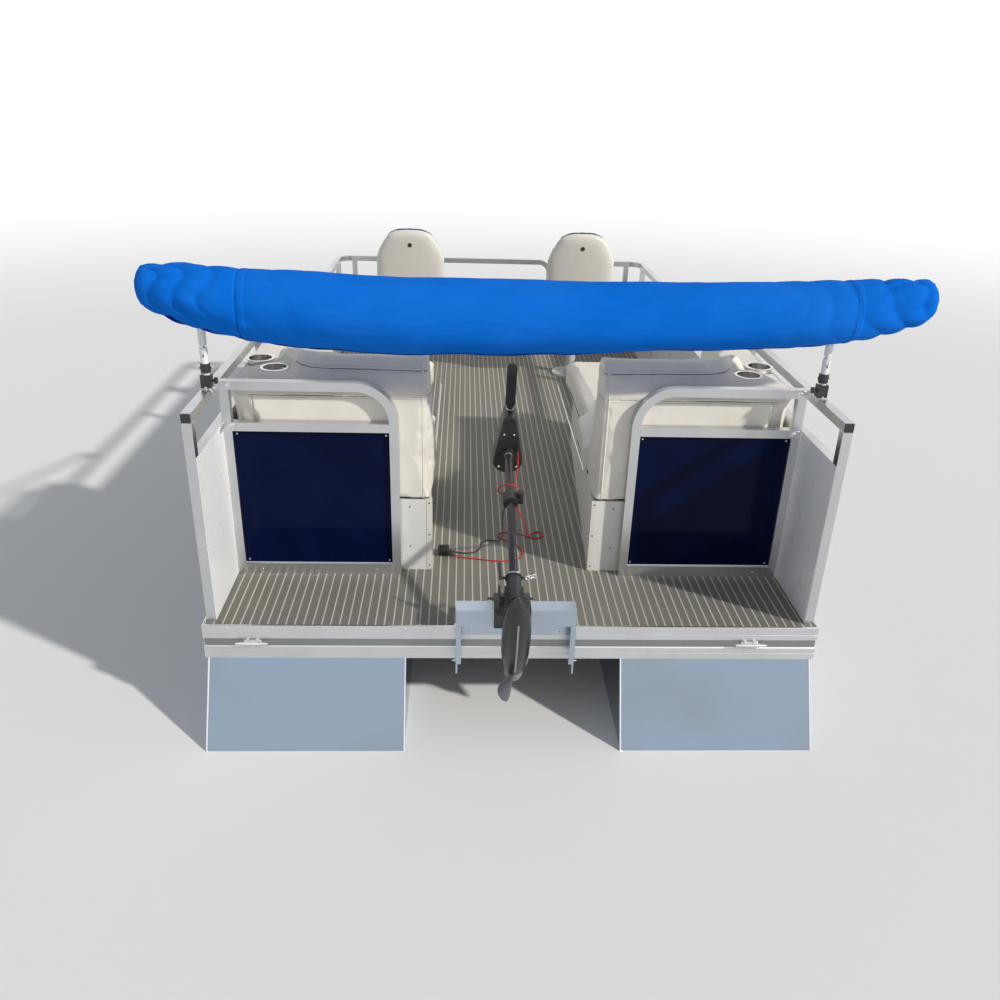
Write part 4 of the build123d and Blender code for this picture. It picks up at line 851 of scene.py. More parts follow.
def make_cover():
    """One sheet of canvas round the folded canopy, lapped under it, with a seam where each gathered end begins."""
    long = COVER_STARBOARD - COVER_PORT
    bm = bmesh.new()
    cloth = bm.loops.layers.uv.new("cloth")
    bmesh.ops.create_grid(bm, x_segments=260, y_segments=110, size=0.5, calc_uvs=True)
    for seam in COVER_SEAMS:
        for off in (-0.011, -0.009, 0.009, 0.011):
            cut_line(bm, ((seam + off - COVER_PORT) / long - 0.5, 0, 0), (1, 0, 0))
    for face in bm.faces:
        for loop in face.loops:
            x, around = loop.vert.co.x + 0.5, loop.vert.co.y + 0.5
            loop[cloth].uv = (x * long, around * COVER_GIRTH)
    for v in bm.verts:
        x, around = COVER_PORT + (v.co.x + 0.5) * long, v.co.y + 0.5
        turn = math.radians(COVER_START + COVER_ROUND * around)
        tape = CLOTH if any(abs(x - seam) < 0.0095 for seam in COVER_SEAMS) else 0.0
        lap = 0.004 * max(0.0, (around - 0.94) / 0.06)
        at = cover_point(x, -turn + math.pi)
        centre = Vector((x, COVER_Y, cover_point(x, 0).z))
        away = (at - centre).normalized()
        v.co = place(*(at + away * (tape + lap)))
    bmesh.ops.recalc_face_normals(bm, faces=bm.faces)
    cover = piece("canopy_cover", bm, "canvas", "canopy", 180)
    shell = cover.modifiers.new("cloth", "SOLIDIFY")
    shell.thickness = CLOTH
    shell.offset = 1
    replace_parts(cover, "canopy_boot")


# Lounges

LOUNGE_INNER, LOUNGE_OUTER, LOUNGE_AFT = 0.298, 1.000, 0.395
ARM_INNER, SEAT_LEVEL = 0.690, 0.3053
BACK_TOP, ARM_TOP, SEAT_TOP = 0.825, 0.740, 0.4173
BASE_TOP = 0.2945
# Heights of the two level seams behind the backrest and of the one in front, and places of the upright ones: by the
# backrest's inner end, across the armrest and at the rear corner
REAR_SEAMS, FRONT_SEAM = (0.774, 0.692), 0.50
END_SEAM, ARM_SEAM, CORNER_SEAM = LOUNGE_INNER + 0.030, 0.655, 0.922
CUPS, CUP_CLEAR = ((0.870, 0.560), (0.945, 0.675)), 0.062
# Feet of the corner roll's section at each station, aft or outboard foot first, and the height of its top
CORNER_ROLL = ((0.640, 0.406, 0.640, 0.603, 0.824), (0.695, 0.408, 0.690, 0.607, 0.823),
               (0.738, 0.421, 0.712, 0.613, 0.822), (0.775, 0.450, 0.738, 0.622, 0.821),
               (0.798, 0.498, 0.762, 0.635, 0.819), (0.810, 0.548, 0.784, 0.651, 0.816),
               (0.824, 0.598, 0.807, 0.673, 0.811), (0.848, 0.630, 0.833, 0.700, 0.803),
               (0.874, 0.648, 0.860, 0.722, 0.792), (0.888, 0.667, 0.878, 0.732, 0.774))
# The section across the roll: share of the way between its feet, and share of its rise
ROLL_SECTION = ((0.0, 0.0), (0.02, 0.30), (0.10, 0.55), (0.22, 0.77), (0.34, 0.90), (0.48, 0.99), (0.62, 1.0),
                (0.76, 0.95), (0.88, 0.80), (0.96, 0.55), (1.0, 0.28), (1.0, 0.0))


def corner_roll():
    """The backrest's roll where it bends forward over the corner of the armrest, inside the cup holders."""
    bm = bmesh.new()
    rings = []
    for x0, y0, x1, y1, top in CORNER_ROLL:

        def shape(angle, x0=x0, y0=y0, x1=x1, y1=y1, top=top):
            share, rise = ROLL_SECTION[round(angle / math.tau * len(ROLL_SECTION)) % len(ROLL_SECTION)]
            return place(x0 + (x1 - x0) * share, y0 + (y1 - y0) * share, 0.700 + rise * (top - 0.700))
        rings.append(ring(bm, len(ROLL_SECTION), shape))
    loft(bm, rings)
    return bm


def straight_back():
    """The backrest up to the armrest's inner side, its one section carried straight on past the corner."""
    bm = node_shape("lounge_back_starboard")
    cut = place(ARM_INNER - 0.0605, 0, 0)
    cut_line(bm, cut, (1, 0, 0), clear_outer=True)
    for v in bm.verts:
        if v.co.x > cut.x - 0.0002:
            v.co.x = ARM_INNER + 0.0025
    bmesh.ops.holes_fill(bm, edges=bm.edges)
    return bm


def foot_down(bm, level, by=0.035):
    """Lengthens a shape below a level, so that its foot can be cut square after it is softened."""
    for v in bm.verts:
        if v.co.z < place(0, 0, level).z + 0.002:
            v.co.z -= by


def cut_foot(bm, level):
    """Cuts a softened shape square at a level and closes it."""
    cut_line(bm, place(0, 0, level), (0, 0, -1), clear_outer=True)
    bmesh.ops.holes_fill(bm, edges=bm.edges)


def make_lounge_backs():
    """Backrest and corner armrest of each lounge in one: rolled top, seamed rear panel with painted shade in its seams,
    piping and cup rims.
    """
    bm = straight_back()
    add(bm, node_shape("lounge_arm_starboard"))
    add(bm, corner_roll())
    foot_down(bm, SEAT_LEVEL)
    bm = upholster(bm, 0.010, 0.003, 0.012, 3)
    arm_edge, rear = 0.800, place(0, LOUNGE_AFT + 0.09, 0).y
    press_flat(bm, place(LOUNGE_INNER - 0.014, LOUNGE_AFT - 0.005, 0.2),
               place(LOUNGE_OUTER + 0.010, 1.192, BACK_TOP + 0.01))
    rim, roof = place(0, 0, ARM_TOP - 0.0005).z, place(0, 0, ARM_TOP + 0.03).z
    for v in bm.verts:
        if v.co.z < roof and any((v.co - place(x, y, v.co.z - DECK)).length < CUP_CLEAR for x, y in CUPS):
            v.co.z = min(v.co.z, rim)
    cut_foot(bm, SEAT_LEVEL + 0.0006)
    seams = ((place(0, 0, REAR_SEAMS[0]), lambda co: co.y < rear + 0.05 and co.x < arm_edge),
             (place(0, 0, REAR_SEAMS[1]), lambda co: co.y < rear + 0.02))
    for seam, test in seams:
        sink_seam(bm, seam, (0, 0, 1), where=test)
    end = place(END_SEAM, 0, 0)
    sink_seam(bm, end, (1, 0, 0), 0.003)
    sink_seam(bm, place(0, ARM_SEAM, 0), (0, 1, 0), 0.004, where=lambda co: co.x > arm_edge)
    sink_seam(bm, place(CORNER_SEAM, 0, 0), (1, 0, 0), 0.007, 0.011,
              where=lambda co: co.y < rear + 0.02 and co.z < DECK + REAR_SEAMS[1])
    sink_seam(bm, place(0, 0, FRONT_SEAM), (0, 0, 1), 0.0035, where=lambda co: co.y > rear)
    piping = cord_along(chains(bm, end, (1, 0, 0)), 0.0034, 0.0022, bm)
    rows = [run for seam, test in seams for off in (-0.008, 0.008)
            for run in chains(bm, seam + Vector((0, 0, off)), (0, 0, 1), test)]
    stitches = cord_along(rows, 0.0008, 0.0003, bm, 1)
    # Dark cords down the middle of the rear seams: painted shade in their grooves
    dark = cord_along([run for seam, test in seams for run in chains(bm, seam, (0, 0, 1), test)],
                      0.0011, 0.0004, bm, 1)
    in_pair("lounge_back_pad", bm, "cream", nodes=["lounge_back", "lounge_arm"])
    in_pair("lounge_back_piping", piping, "cream")
    in_pair("lounge_back_stitching", stitches, "thread")
    in_pair("lounge_back_seam_shade", dark, "gap")


def make_lounge_seats():
    """Seat cushion of each lounge on its board, with piping round both edges and a seam across it, and a dark skirt of
    painted shadow round the base's plinth.
    """
    bm = node_shape("lounge_seat_starboard")
    cut_foot(bm, SEAT_LEVEL + 0.010)
    foot_down(bm, SEAT_LEVEL + 0.010, 0.010)
    bm = upholster(bm, 0.011, -0.002, 0.024, 5)
    press_flat(bm, place(LOUNGE_INNER - 0.050, 0.612, SEAT_LEVEL + 0.0006), place(0.838, 1.838, SEAT_TOP + 0.016))
    middle = place(0, 1.18, 0)
    top = place(0, 0, SEAT_TOP - 0.014)
    sink_seam(bm, middle, (0, 1, 0), 0.005, where=lambda co: co.z > top.z - 0.02)
    sink_seam(bm, top, (0, 0, 1), 0.003)
    piping = cord_along(chains(bm, top, (0, 0, 1)), 0.0032, 0.0022, bm)
    in_pair("lounge_seat_pad", bm, "cream", "seat_lid", ["lounge_seat"])
    in_pair("lounge_seat_piping", piping, "cream", "seat_lid")
    x0, x1 = LOUNGE_INNER + 0.010, 0.818
    outline = [(x0, 0.632), (x1, 0.632), (x1, 1.796), (x0 + 0.043, 1.796), (x0 + 0.043, 1.060), (x0, 0.990)]
    board = raised([place(x, y, SEAT_LEVEL + 0.0005) for x, y in outline], 0.0105)
    in_pair("lounge_seat_board", board, "gap", "seat_lid", smooth=30)
    # A dark skirt round the plinth under the seat and back: painted shadow in the gap
    inner, taper = LOUNGE_INNER + 0.0113, 0.085
    outline = [(inner, LOUNGE_AFT + 0.0113), (LOUNGE_OUTER - 0.0113, LOUNGE_AFT + 0.0113),
               (LOUNGE_OUTER - 0.0113, 1.7887), (inner + taper, 1.7887)]
    foot = raised([place(x, y, 0.2952) for x, y in outline], 0.0098, rim=0.003)
    in_pair("lounge_shadow_gap", foot, "gap", smooth=30)
    barrel = bmesh.new()
    for y in (0.682 + 1.10 * k / 24 for k in range(24)):
        drum(barrel, 0.0038, 0.0440, toward((0, 1, 0), place(LOUNGE_INNER, y, SEAT_LEVEL - 0.0003)), 12)
    in_pair("seat_hinge_barrel", barrel, "steel", "seat_lid", smooth=40)


# Swivel chairs

CHAIR_X, CHAIR_Y, CHAIR_BASE = 0.505, 2.990, 0.330
FOLD_Y, FOLD_Z, BACK_LEAN = 2.797, 0.468, math.radians(7)
# A chair back's two level seams and its upright ones beside the middle, with navy vinyl outside them
BACK_SEAMS, BACK_SIDE_SEAM, SEAT_SIDE_SEAM = (0.150, 0.345), 0.105, 0.11
# Share of the height, and share of the width there
BACK_WIDTHS = ((0.0, 0.86), (0.12, 0.95), (0.35, 1.0), (0.62, 0.99), (0.74, 0.90), (0.86, 0.74), (0.95, 0.60),
               (1.0, 0.56))


def chair_outline(angle, width, tall):
    """Outline of a chair's back: short flat top, sloping shoulders, widest below the middle."""
    side, rise = math.cos(angle), math.sin(angle)
    z = tall / 2 * (1 + math.copysign(abs(rise) ** 0.8, rise))
    closing = min(1.0, abs(side) / 0.50) ** 0.6
    return math.copysign(width / 2 * closing * along_table(BACK_WIDTHS, z / tall), side), z


def lean_back():
    """Frame of a starboard chair's back: origin on the fold axis, Z up the back."""
    return Matrix.Translation(place(CHAIR_X, FOLD_Y, FOLD_Z)) @ Matrix.Rotation(BACK_LEAN, 4, "X")


def back_ring(bm, depth, inset, width=0.400, tall=0.440, bottom=0.012):
    """A ring of the chair back's outline, drawn in by an inset, at a depth ahead of the fold axis."""
    to_back = lean_back()
    wide, high = width - 2 * inset, tall - 2 * inset

    def shape(angle):
        x, z = chair_outline(angle, wide, high)
        bow = 0.018 * (2 * x / width) ** 2
        return to_back @ Vector((x, depth + bow, bottom + inset + z))
    return ring(bm, 72, shape)


def make_chair_backs():
    """Folding back of each chair: a moulded shell behind, a cushion in two colours in front."""
    layers = [(-0.030, 0.085), (-0.0295, 0.050), (-0.027, 0.024), (-0.021, 0.009), (-0.012, 0.001), (0.000, 0.0),
              (0.004, 0.002), (0.005, 0.010)]
    in_pair("chair_back_shell", stack(back_ring, layers), "shell", "chair_back", smooth=50)
    layers = [(0.002, 0.012), (0.006, 0.002), (0.014, -0.003), (0.022, 0.002), (0.029, 0.014), (0.033, 0.034),
              (0.035, 0.060)]
    pad = upholster(stack(back_ring, layers, 0.408, 0.452, 0.008), 0.008, 0.001, 0.007, 1)
    frame_of = lean_back()
    up, ahead = frame_of.to_3x3() @ Vector((0, 0, 1)), frame_of.to_3x3() @ Vector((0, 1, 0))
    front = frame_of @ Vector((0, 0.020, 0))
    facing = lambda co: (co - front).dot(ahead) > 0
    for height in BACK_SEAMS:
        sink_seam(pad, frame_of @ Vector((0, 0, height)), up, 0.004, 0.004, facing)
    for x in (-BACK_SIDE_SEAM, BACK_SIDE_SEAM):
        sink_seam(pad, place(CHAIR_X + x, 0, 0), (1, 0, 0), 0.004, 0.004, facing)
    edge = frame_of @ Vector((0, 0.016, 0))
    piping = cord_along(chains(pad, edge, ahead), 0.0028, 0.0016, pad)
    pieces = in_pair("chair_back_pad", pad, "cream", "chair_back", ["chair_back"])
    to_back = frame_of.inverted()

    def is_navy(middle):
        at = to_back @ middle
        return at.z > BACK_SEAMS[1] or (abs(at.x) > BACK_SIDE_SEAM and at.z > BACK_SEAMS[0])
    add_navy(pieces, is_navy)
    in_pair("chair_back_piping", piping, "navy", "chair_back")
    metal = bmesh.new()
    drum(metal, 0.0045, 0.256, frame_of @ toward((1, 0, 0)), 20)
    drum(metal, 0.0085, 0.222, frame_of @ toward((1, 0, 0)), 24)
    for x in (-0.075, 0.075):
        add(metal, moved(slab(Vector((x - 0.028, -0.0085, 0)), Vector((x + 0.028, -0.0035, 0.060))), frame_of))
    in_pair("chair_hinge_leaf", metal, "zinc", "chair_back", smooth=40)
    snap = turned(((0.013, -0.001), (0.012, 0.0015), (0.009, 0.0022), (0.0075, 0.0006), (0.002, 0.0004)), 20)
    turn = frame_of.to_3x3().to_4x4() @ Matrix.Rotation(math.radians(90), 4, "X")
    moved(snap, Matrix.Translation(frame_of @ Vector((0, -0.0305, 0.372))) @ turn)
    in_pair("chair_back_snap", snap, "gap", "chair_back", smooth=40)


def add_navy(pieces, is_navy):
    """Covers the faces that a test picks by their middle, as on the starboard piece, in navy vinyl."""
    for side, sign in SIDES:
        mesh = pieces[side].data
        mesh.materials.append(finishes["navy"])
        for polygon in mesh.polygons:
            x, y, z = polygon.center
            if is_navy(Vector((sign * x, y, z))):
                polygon.material_index = 1


def seat_ring(bm, height, inset):
    """A ring of the chair seat's outline at a height above the pedestal's top, wider in front than behind."""
    wide, deep = 0.215 - inset, 0.2275 - inset

    def shape(angle):
        side, run = math.cos(angle), math.sin(angle)
        x = math.copysign(abs(side) ** 0.45, side) * wide
        y = math.copysign(abs(run) ** 0.5, run) * deep
        x *= 1 - 0.07 * max(0.0, -y / deep) ** 2
        return place(CHAIR_X + x, CHAIR_Y + 0.0125 + y, CHAIR_BASE + height)
    return ring(bm, 72, shape)


def make_chair_seats():
    """Seat of each chair: a moulded pan on a spider, a stuffed cushion with a navy welt, and the back's ears."""
    layers = [(0.0195, 0.075), (0.022, 0.040), (0.034, 0.012), (0.050, 0.003), (0.056, 0.003), (0.057, 0.010)]
    in_pair("chair_seat_shell", stack(seat_ring, layers), "shell", "chair", smooth=50)
    layers = [(0.054, 0.014), (0.060, 0.004), (0.078, 0.002), (0.090, 0.010), (0.097, 0.030), (0.099, 0.060)]
    pad = upholster(stack(seat_ring, layers), 0.008, 0.003, 0.009, 1)
    press_flat(pad, place(CHAIR_X - 0.3, CHAIR_Y - 0.3, CHAIR_BASE + 0.055), place(CHAIR_X + 0.3, 4, 0.445))
    above = lambda co: co.z > place(0, 0, CHAIR_BASE + 0.075).z
    for x in (-SEAT_SIDE_SEAM, SEAT_SIDE_SEAM):
        sink_seam(pad, place(CHAIR_X + x, 0, 0), (1, 0, 0), 0.004, 0.004, above)
    welt = place(0, 0, CHAIR_BASE + 0.080)
    piping = cord_along(chains(pad, welt, (0, 0, 1)), 0.0028, 0.0016, pad)
    pieces = in_pair("chair_seat_pad", pad, "cream", "chair", ["chair_seat"])
    add_navy(pieces, lambda middle: abs(middle.x - CHAIR_X) > SEAT_SIDE_SEAM)
    in_pair("chair_seat_piping", piping, "navy", "chair")
    metal = slab(place(CHAIR_X - 0.09, CHAIR_Y - 0.09, CHAIR_BASE + 0.0004),
                 place(CHAIR_X + 0.09, CHAIR_Y + 0.09, CHAIR_BASE + 0.006), 0.02)
    for turn in range(4):
        arm = slab(Vector((-0.012, 0.0, 0.005)), Vector((0.012, 0.150, 0.0195)))
        spin = Matrix.Rotation(math.radians(45 + 90 * turn), 4, "Z")
        add(metal, moved(arm, Matrix.Translation(place(CHAIR_X, CHAIR_Y, CHAIR_BASE)) @ spin))
    for x in (CHAIR_X - 0.120, CHAIR_X + 0.120):
        drum(metal, 0.014, 0.006, toward((1, 0, 0), place(x, FOLD_Y, FOLD_Z)), 28)
        add(metal, slab(place(x - 0.003, FOLD_Y - 0.014, CHAIR_BASE + 0.054), place(x + 0.003, FOLD_Y + 0.014, FOLD_Z)))
    in_pair("chair_spider", metal, "zinc", "chair", smooth=40)


# Metalwork, fastenings and trim

DECK_HALF, DECK_LENGTH = 1.067, 3.960
PONTOON_X, PONTOON_HALF, KEEL_HALF, CHINE, PONTOON_TOP = 0.718, 0.339, 0.1425, 0.182, 0.468
RAIL_SIDE, TUBE = 1.0546, 0.03175
RAIL_HIGH, RAIL_LOW, RAIL_MID, RAIL_FOOT = 0.751, 0.602, 0.453, 0.040
STERN_FENCE_Y, STERN_FENCE_X = 0.355, 0.4135
# Start, end and top of the skin in each bay of a side fence
SIDE_BAYS = ((0.05575, 1.250, RAIL_LOW - TUBE), (1.28175, 2.4525, RAIL_MID - TUBE), (2.48425, 3.58675, RAIL_MID - TUBE))


def stud(bm, at, direction, radius, height, sides=10):
    """A bolt head, rivet or pin with a domed end, standing on a surface."""
    drum(bm, radius, height, toward(direction, at) @ Matrix.Translation((0, 0, height / 2)), sides, radius * 0.72)


def bolt(bm, at, direction, size):
    """A hexagon head on its washer."""
    stud(bm, at, direction, size * 1.55, size * 0.25, 16)
    drum(bm, size, size, toward(direction, at) @ Matrix.Translation((0, 0, size * 0.6)), 6, size * 0.96)


def plate(bm, low, high, edge):
    """A flat bar between two corners, its edges eased."""
    bar = slab(Vector([*map(min, low, high)]), Vector([*map(max, low, high)]))
    round_edges(bar, bar.edges[:], edge, 1)
    add(bm, bar)


def bead(bm, points, radius, pitch=0.004):
    """A weld bead along a line of points, rippled at a pitch."""
    run = []
    for first, second in zip(points, points[1:]):
        steps = max(2, int((second - first).length / pitch))
        run += [first.lerp(second, k / steps) for k in range(steps)]
    add(bm, tube([(run + [points[-1]], False)], radius, ripple=0.80))


def edge_band(low, high, out=0.0012):
    """A raised lip round the deck's edge between two heights over the deck."""
    bm = bmesh.new()
    rings, root = [], -0.0035
    for grown, height in ((root, low), (out, low + 0.0008), (out, high - 0.0008), (root, high)):
        rings.append(bmesh.ops.create_circle(bm, segments=4, radius=1,
                                             matrix=Matrix.Rotation(math.radians(45), 4, "Z"))["verts"])
        for v in rings[-1]:
            y = DECK_LENGTH + grown if v.co.y > 0 else -grown
            v.co = place(math.copysign(DECK_HALF + grown, v.co.x), y, height)
    loft(bm, rings, cap=False)
    return bm


def make_edge_trim():
    """Lips, grooves and a darker grey band in the recess of the extrusion round the deck, with its screws."""
    lips = bmesh.new()
    for low, high in ((-0.0285, -0.0015), (-0.0525, -0.0320), (-0.1045, -0.0870), (-0.1305, -0.1080)):
        add(lips, edge_band(low, high))
    piece("edge_trim_lips", lips, "extrusion", smooth=30)
    piece("edge_trim_recess_band", edge_band(-0.0850, -0.0535, -0.0024), "insert", smooth=30)
    screws = bmesh.new()
    level, end, out = -0.0120, DECK_LENGTH + 0.0012, DECK_HALF + 0.0012
    spots = [((x, end), (0, 1, 0)) for x in spread(-0.98, 0.98, 14)]
    spots += [((x, -0.0012), (0, -1, 0)) for x in spread(-0.98, 0.98, 14) if abs(x) > 0.23]
    spots += [((sign * out, y), (sign, 0, 0)) for y in spread(0.12, DECK_LENGTH - 0.12, 16) for sign in (-1, 1)]
    for (x, y), direction in spots:
        stud(screws, place(x, y, level), direction, 0.0034, 0.0014, 8)
    piece("edge_trim_screws", screws, "zinc", smooth=40)


def make_pontoon_welds():
    """Weld beads round the stern plates, down the pontoons' upper edges and round their section joints."""
    outline = [(-PONTOON_HALF, PONTOON_TOP), (-PONTOON_HALF, CHINE), (-KEEL_HALF, 0.0), (KEEL_HALF, 0.0),
               (PONTOON_HALF, CHINE), (PONTOON_HALF, PONTOON_TOP)]
    # The stern plate leans, its foot further ahead than its top
    seam = [Vector((PONTOON_X + x, STERN + 0.005 - 0.532 * (PONTOON_TOP - z), z)) for x, z in outline]
    bm = bmesh.new()
    bead(bm, seam, 0.0042)
    for share in (0.36, 0.68):
        bead(bm, [Vector((p.x, STERN + DECK_LENGTH * share, p.z)) for p in seam], 0.0032)
    for x in (PONTOON_X - PONTOON_HALF, PONTOON_X + PONTOON_HALF):
        bead(bm, [Vector((x, STERN + y, PONTOON_TOP)) for y in (0.02, 3.60)], 0.0026, 0.012)
    for k in range(3):
        stud(bm, seam[0].lerp(seam[-1], (0.5 + k) / 3) + Vector((0, -0.0055, -0.016)), (0, -1, 0.5), 0.0035, 0.0016, 8)
    in_pair("pontoon_welds", bm, "weld", smooth=60)


def make_fence_fittings():
    """Fastenings of the fences: weld beads, corner angles with their bolts, panel beads and screws."""
    welds, angles, beads = bmesh.new(), bmesh.new(), bmesh.new()
    inner, outer, post = RAIL_SIDE - TUBE, RAIL_SIDE + 0.0003, 0.024 + TUBE
    aft, front = STERN_FENCE_Y, STERN_FENCE_Y + TUBE
    runs = []
    for y in (aft - 0.0003, front + 0.0003):
        for x in (STERN_FENCE_X + TUBE, inner - TUBE):
            runs += [((x, y, RAIL_LOW - TUBE), (x, y, RAIL_LOW)), ((x, y, 0.004), (x, y, RAIL_FOOT))]
        runs.append(((inner - TUBE, y, RAIL_HIGH - TUBE), (inner - TUBE, y, RAIL_HIGH)))
    for y in (1.250, 2.4525):
        runs += [((outer, y, z), (outer, y + TUBE, z)) for z in (RAIL_MID - TUBE, RAIL_FOOT)]
    runs += [((x, 0.024, RAIL_HIGH - TUBE), (x, post, RAIL_HIGH - TUBE)) for x in (inner - 0.0003, outer)]
    feet = ((RAIL_LOW - TUBE, RAIL_LOW), (0.004, RAIL_FOOT))
    runs += [((outer, post, low), (outer, post, high)) for low, high in feet]
    for start, end in runs:
        bead(welds, [place(*start), place(*end)], 0.0016)
    in_pair("fence_welds", welds, "weld", smooth=60)
    for z in (RAIL_HIGH - TUBE / 2, RAIL_LOW - TUBE / 2):
        for x, y in ((inner - 0.040, aft - 0.0024), (inner - 0.0024, aft - 0.040)):
            plate(angles, place(x, y, z - 0.013), place(inner, aft, z + 0.013), 0.0006)
        bolt(angles, place(inner - 0.026, aft - 0.0024, z), (0, -1, 0), 0.0055)
        bolt(angles, place(inner - 0.0024, aft - 0.026, z), (-1, 0, 0), 0.0055)
    for x in (STERN_FENCE_X + 0.090, inner - 0.090):
        stud(angles, place(x, aft - 0.0002, 0.020), (0, -1, 0), 0.0042, 0.0022)
    x0, x1, top = STERN_FENCE_X + TUBE, inner - TUBE, RAIL_LOW - TUBE
    for side in (-1, 1):
        face = aft + TUBE / 2 + side * 0.0020
        for x in (x0 + 0.012, x1 - 0.012):
            for z in (RAIL_FOOT + 0.014, top - 0.014):
                stud(angles, place(x, face, z), (0, side, 0), 0.0042, 0.0026)
        plate(beads, place(x0, face, RAIL_FOOT), place(x1, face + side * 0.0035, RAIL_FOOT + 0.0045), 0.0007)
    face = RAIL_SIDE - TUBE / 2 + 0.0020
    for start, end, top in SIDE_BAYS:
        for z in (RAIL_FOOT, top - 0.0035):
            plate(beads, place(face, start, z), place(face + 0.003, end, z + 0.0035), 0.0006)
        for y in spread(start + 0.014, end - 0.014, 4):
            for z in (RAIL_FOOT + 0.014, top - 0.014):
                stud(angles, place(face, y, z), (1, 0, 0), 0.0036, 0.0022, 8)
    in_pair("fence_fittings", angles, "zinc", smooth=40)
    in_pair("panel_beads", beads, "tube", smooth=30)
    caps = bmesh.new()
    low = place(inner + 0.0006, 0.0205, RAIL_HIGH - TUBE + 0.0006)
    plate(caps, low, place(RAIL_SIDE - 0.0006, 0.0242, RAIL_HIGH - 0.0006), 0.0016)
    in_pair("rail_caps", caps, "black", smooth=30)


def make_panel_liners():
    """White sheets on the inner side of the side fences, over their posts and rails."""
    liners, rivets = bmesh.new(), bmesh.new()
    face = RAIL_SIDE - TUBE - 0.0001
    runs = ((0.0255, STERN_FENCE_Y - 0.0002, RAIL_LOW), (STERN_FENCE_Y + TUBE + 0.0002, 1.2815, RAIL_LOW),
            (1.2825, DECK_LENGTH - 0.345, RAIL_MID))
    for start, end, top in runs:
        plate(liners, place(face - 0.0015, start, 0.0040), place(face, end, top - 0.0006), 0.0004)
        for y in spread(start + 0.012, end - 0.012, max(2, round((end - start) / 0.3)) + 1):
            for z in (0.024, top - 0.014):
                stud(rivets, place(face - 0.0015, y, z), (-1, 0, 0), 0.0030, 0.0011, 8)
    in_pair("panel_liners", liners, "liner", smooth=30)
    in_pair("liner_rivets", rivets, "zinc", smooth=40)


def make_base_trim():
    """Corner strips, hinge screws and foot screws of the lounge bases."""
    strips, screws = bmesh.new(), bmesh.new()
    inner, aft = LOUNGE_INNER, LOUNGE_AFT
    for x, y in ((inner + 0.020, aft), (inner, aft + 0.020)):
        plate(strips, place(inner - 0.0014, aft - 0.0014, 0.004), place(x, y, BASE_TOP), 0.0006)
    in_pair("base_corner_strip", strips, "shell", smooth=30)
    for z in (0.020, 0.150, 0.280):
        stud(screws, place(inner + 0.010, aft - 0.0012, z), (0, -1, 0), 0.0034, 0.0016, 8)
    for x, z in ((0.38, 0.10), (0.50, 0.10), (0.38, 0.265)):
        stud(screws, place(x, aft - 0.0001, z), (0, -1, 0), 0.0034, 0.0014, 8)
    for y in spread(0.46, 1.72, 5):
        stud(screws, place(inner - 0.0002 + 0.085 * (y - aft) / 1.405, y, 0.022), (-1, -0.06, 0), 0.0036, 0.0014, 8)
    in_pair("base_screws", screws, "gap", smooth=40)


def make_pole_fittings():
    """Sleeves and pins on the support poles, and the knobs and clips at their jaws."""
    x, y, top, bore = RAIL_SIDE - TUBE / 2, 0.290, RAIL_HIGH, 0.0127
    low, high, pole = top + 0.050, top + 0.082, place(x, y, 0)
    sleeve = turned([(bore + grown, z) for grown, z in (
        (0.0002, low), (0.0032, low + 0.001), (0.0038, low + 0.004), (0.0038, high - 0.004), (0.0032, high - 0.001),
        (0.0002, high))], close=False, centre=pole)
    for side in (-1, 1):
        stud(sleeve, place(x + side * 0.0155, y, (low + high) / 2), (side, 0, 0), 0.0045, 0.004, 12)
    in_pair("pole_sleeve", sleeve, "black", "support_pole", smooth=50)
    socket = turned(((0.0040, 0.8930), (0.0120, 0.8938), (bore, 0.8960), (bore, 0.9560), (0.0040, 0.9568)), centre=pole)
    in_pair("bow_socket", socket, "white", "canopy", smooth=50)
    knob = bmesh.new()
    foot = place(x - 0.0175, y - 0.004, top + 0.024)
    stud(knob, foot, (-1, 0, 0), 0.0052, 0.010, 14)
    grip = toward((-1, 0, 0), foot + Vector((-0.0135, 0, 0)))
    for turn in range(6):
        spin = Matrix.Rotation(math.radians(60 * turn), 4, "Z")
        drum(knob, 0.0046, 0.010, grip @ spin @ Matrix.Translation((0.0070, 0, 0)), 12, 0.0040)
    drum(knob, 0.0082, 0.0106, grip, 24, 0.0072)
    in_pair("jaw_knob", knob, "black", smooth=40)
    clip = bmesh.new()
    side = x - 0.0162
    for off in (-0.021, 0.021):
        plate(clip, place(side, y + off - 0.006, top), place(x + 0.0162, y + off + 0.006, top + 0.0024), 0.0006)
        bolt(clip, place(x, y + off, top + 0.0024), (0, 0, 1), 0.0042)
    plate(clip, place(side - 0.002, y - 0.030, top - 0.018), place(side, y + 0.030, top + 0.0020), 0.0006)
    for off in (-0.018, 0.018):
        stud(clip, place(side - 0.002, y + off, top - 0.010), (-1, 0, 0), 0.0034, 0.0022)
    in_pair("jaw_clip", clip, "zinc", smooth=40)


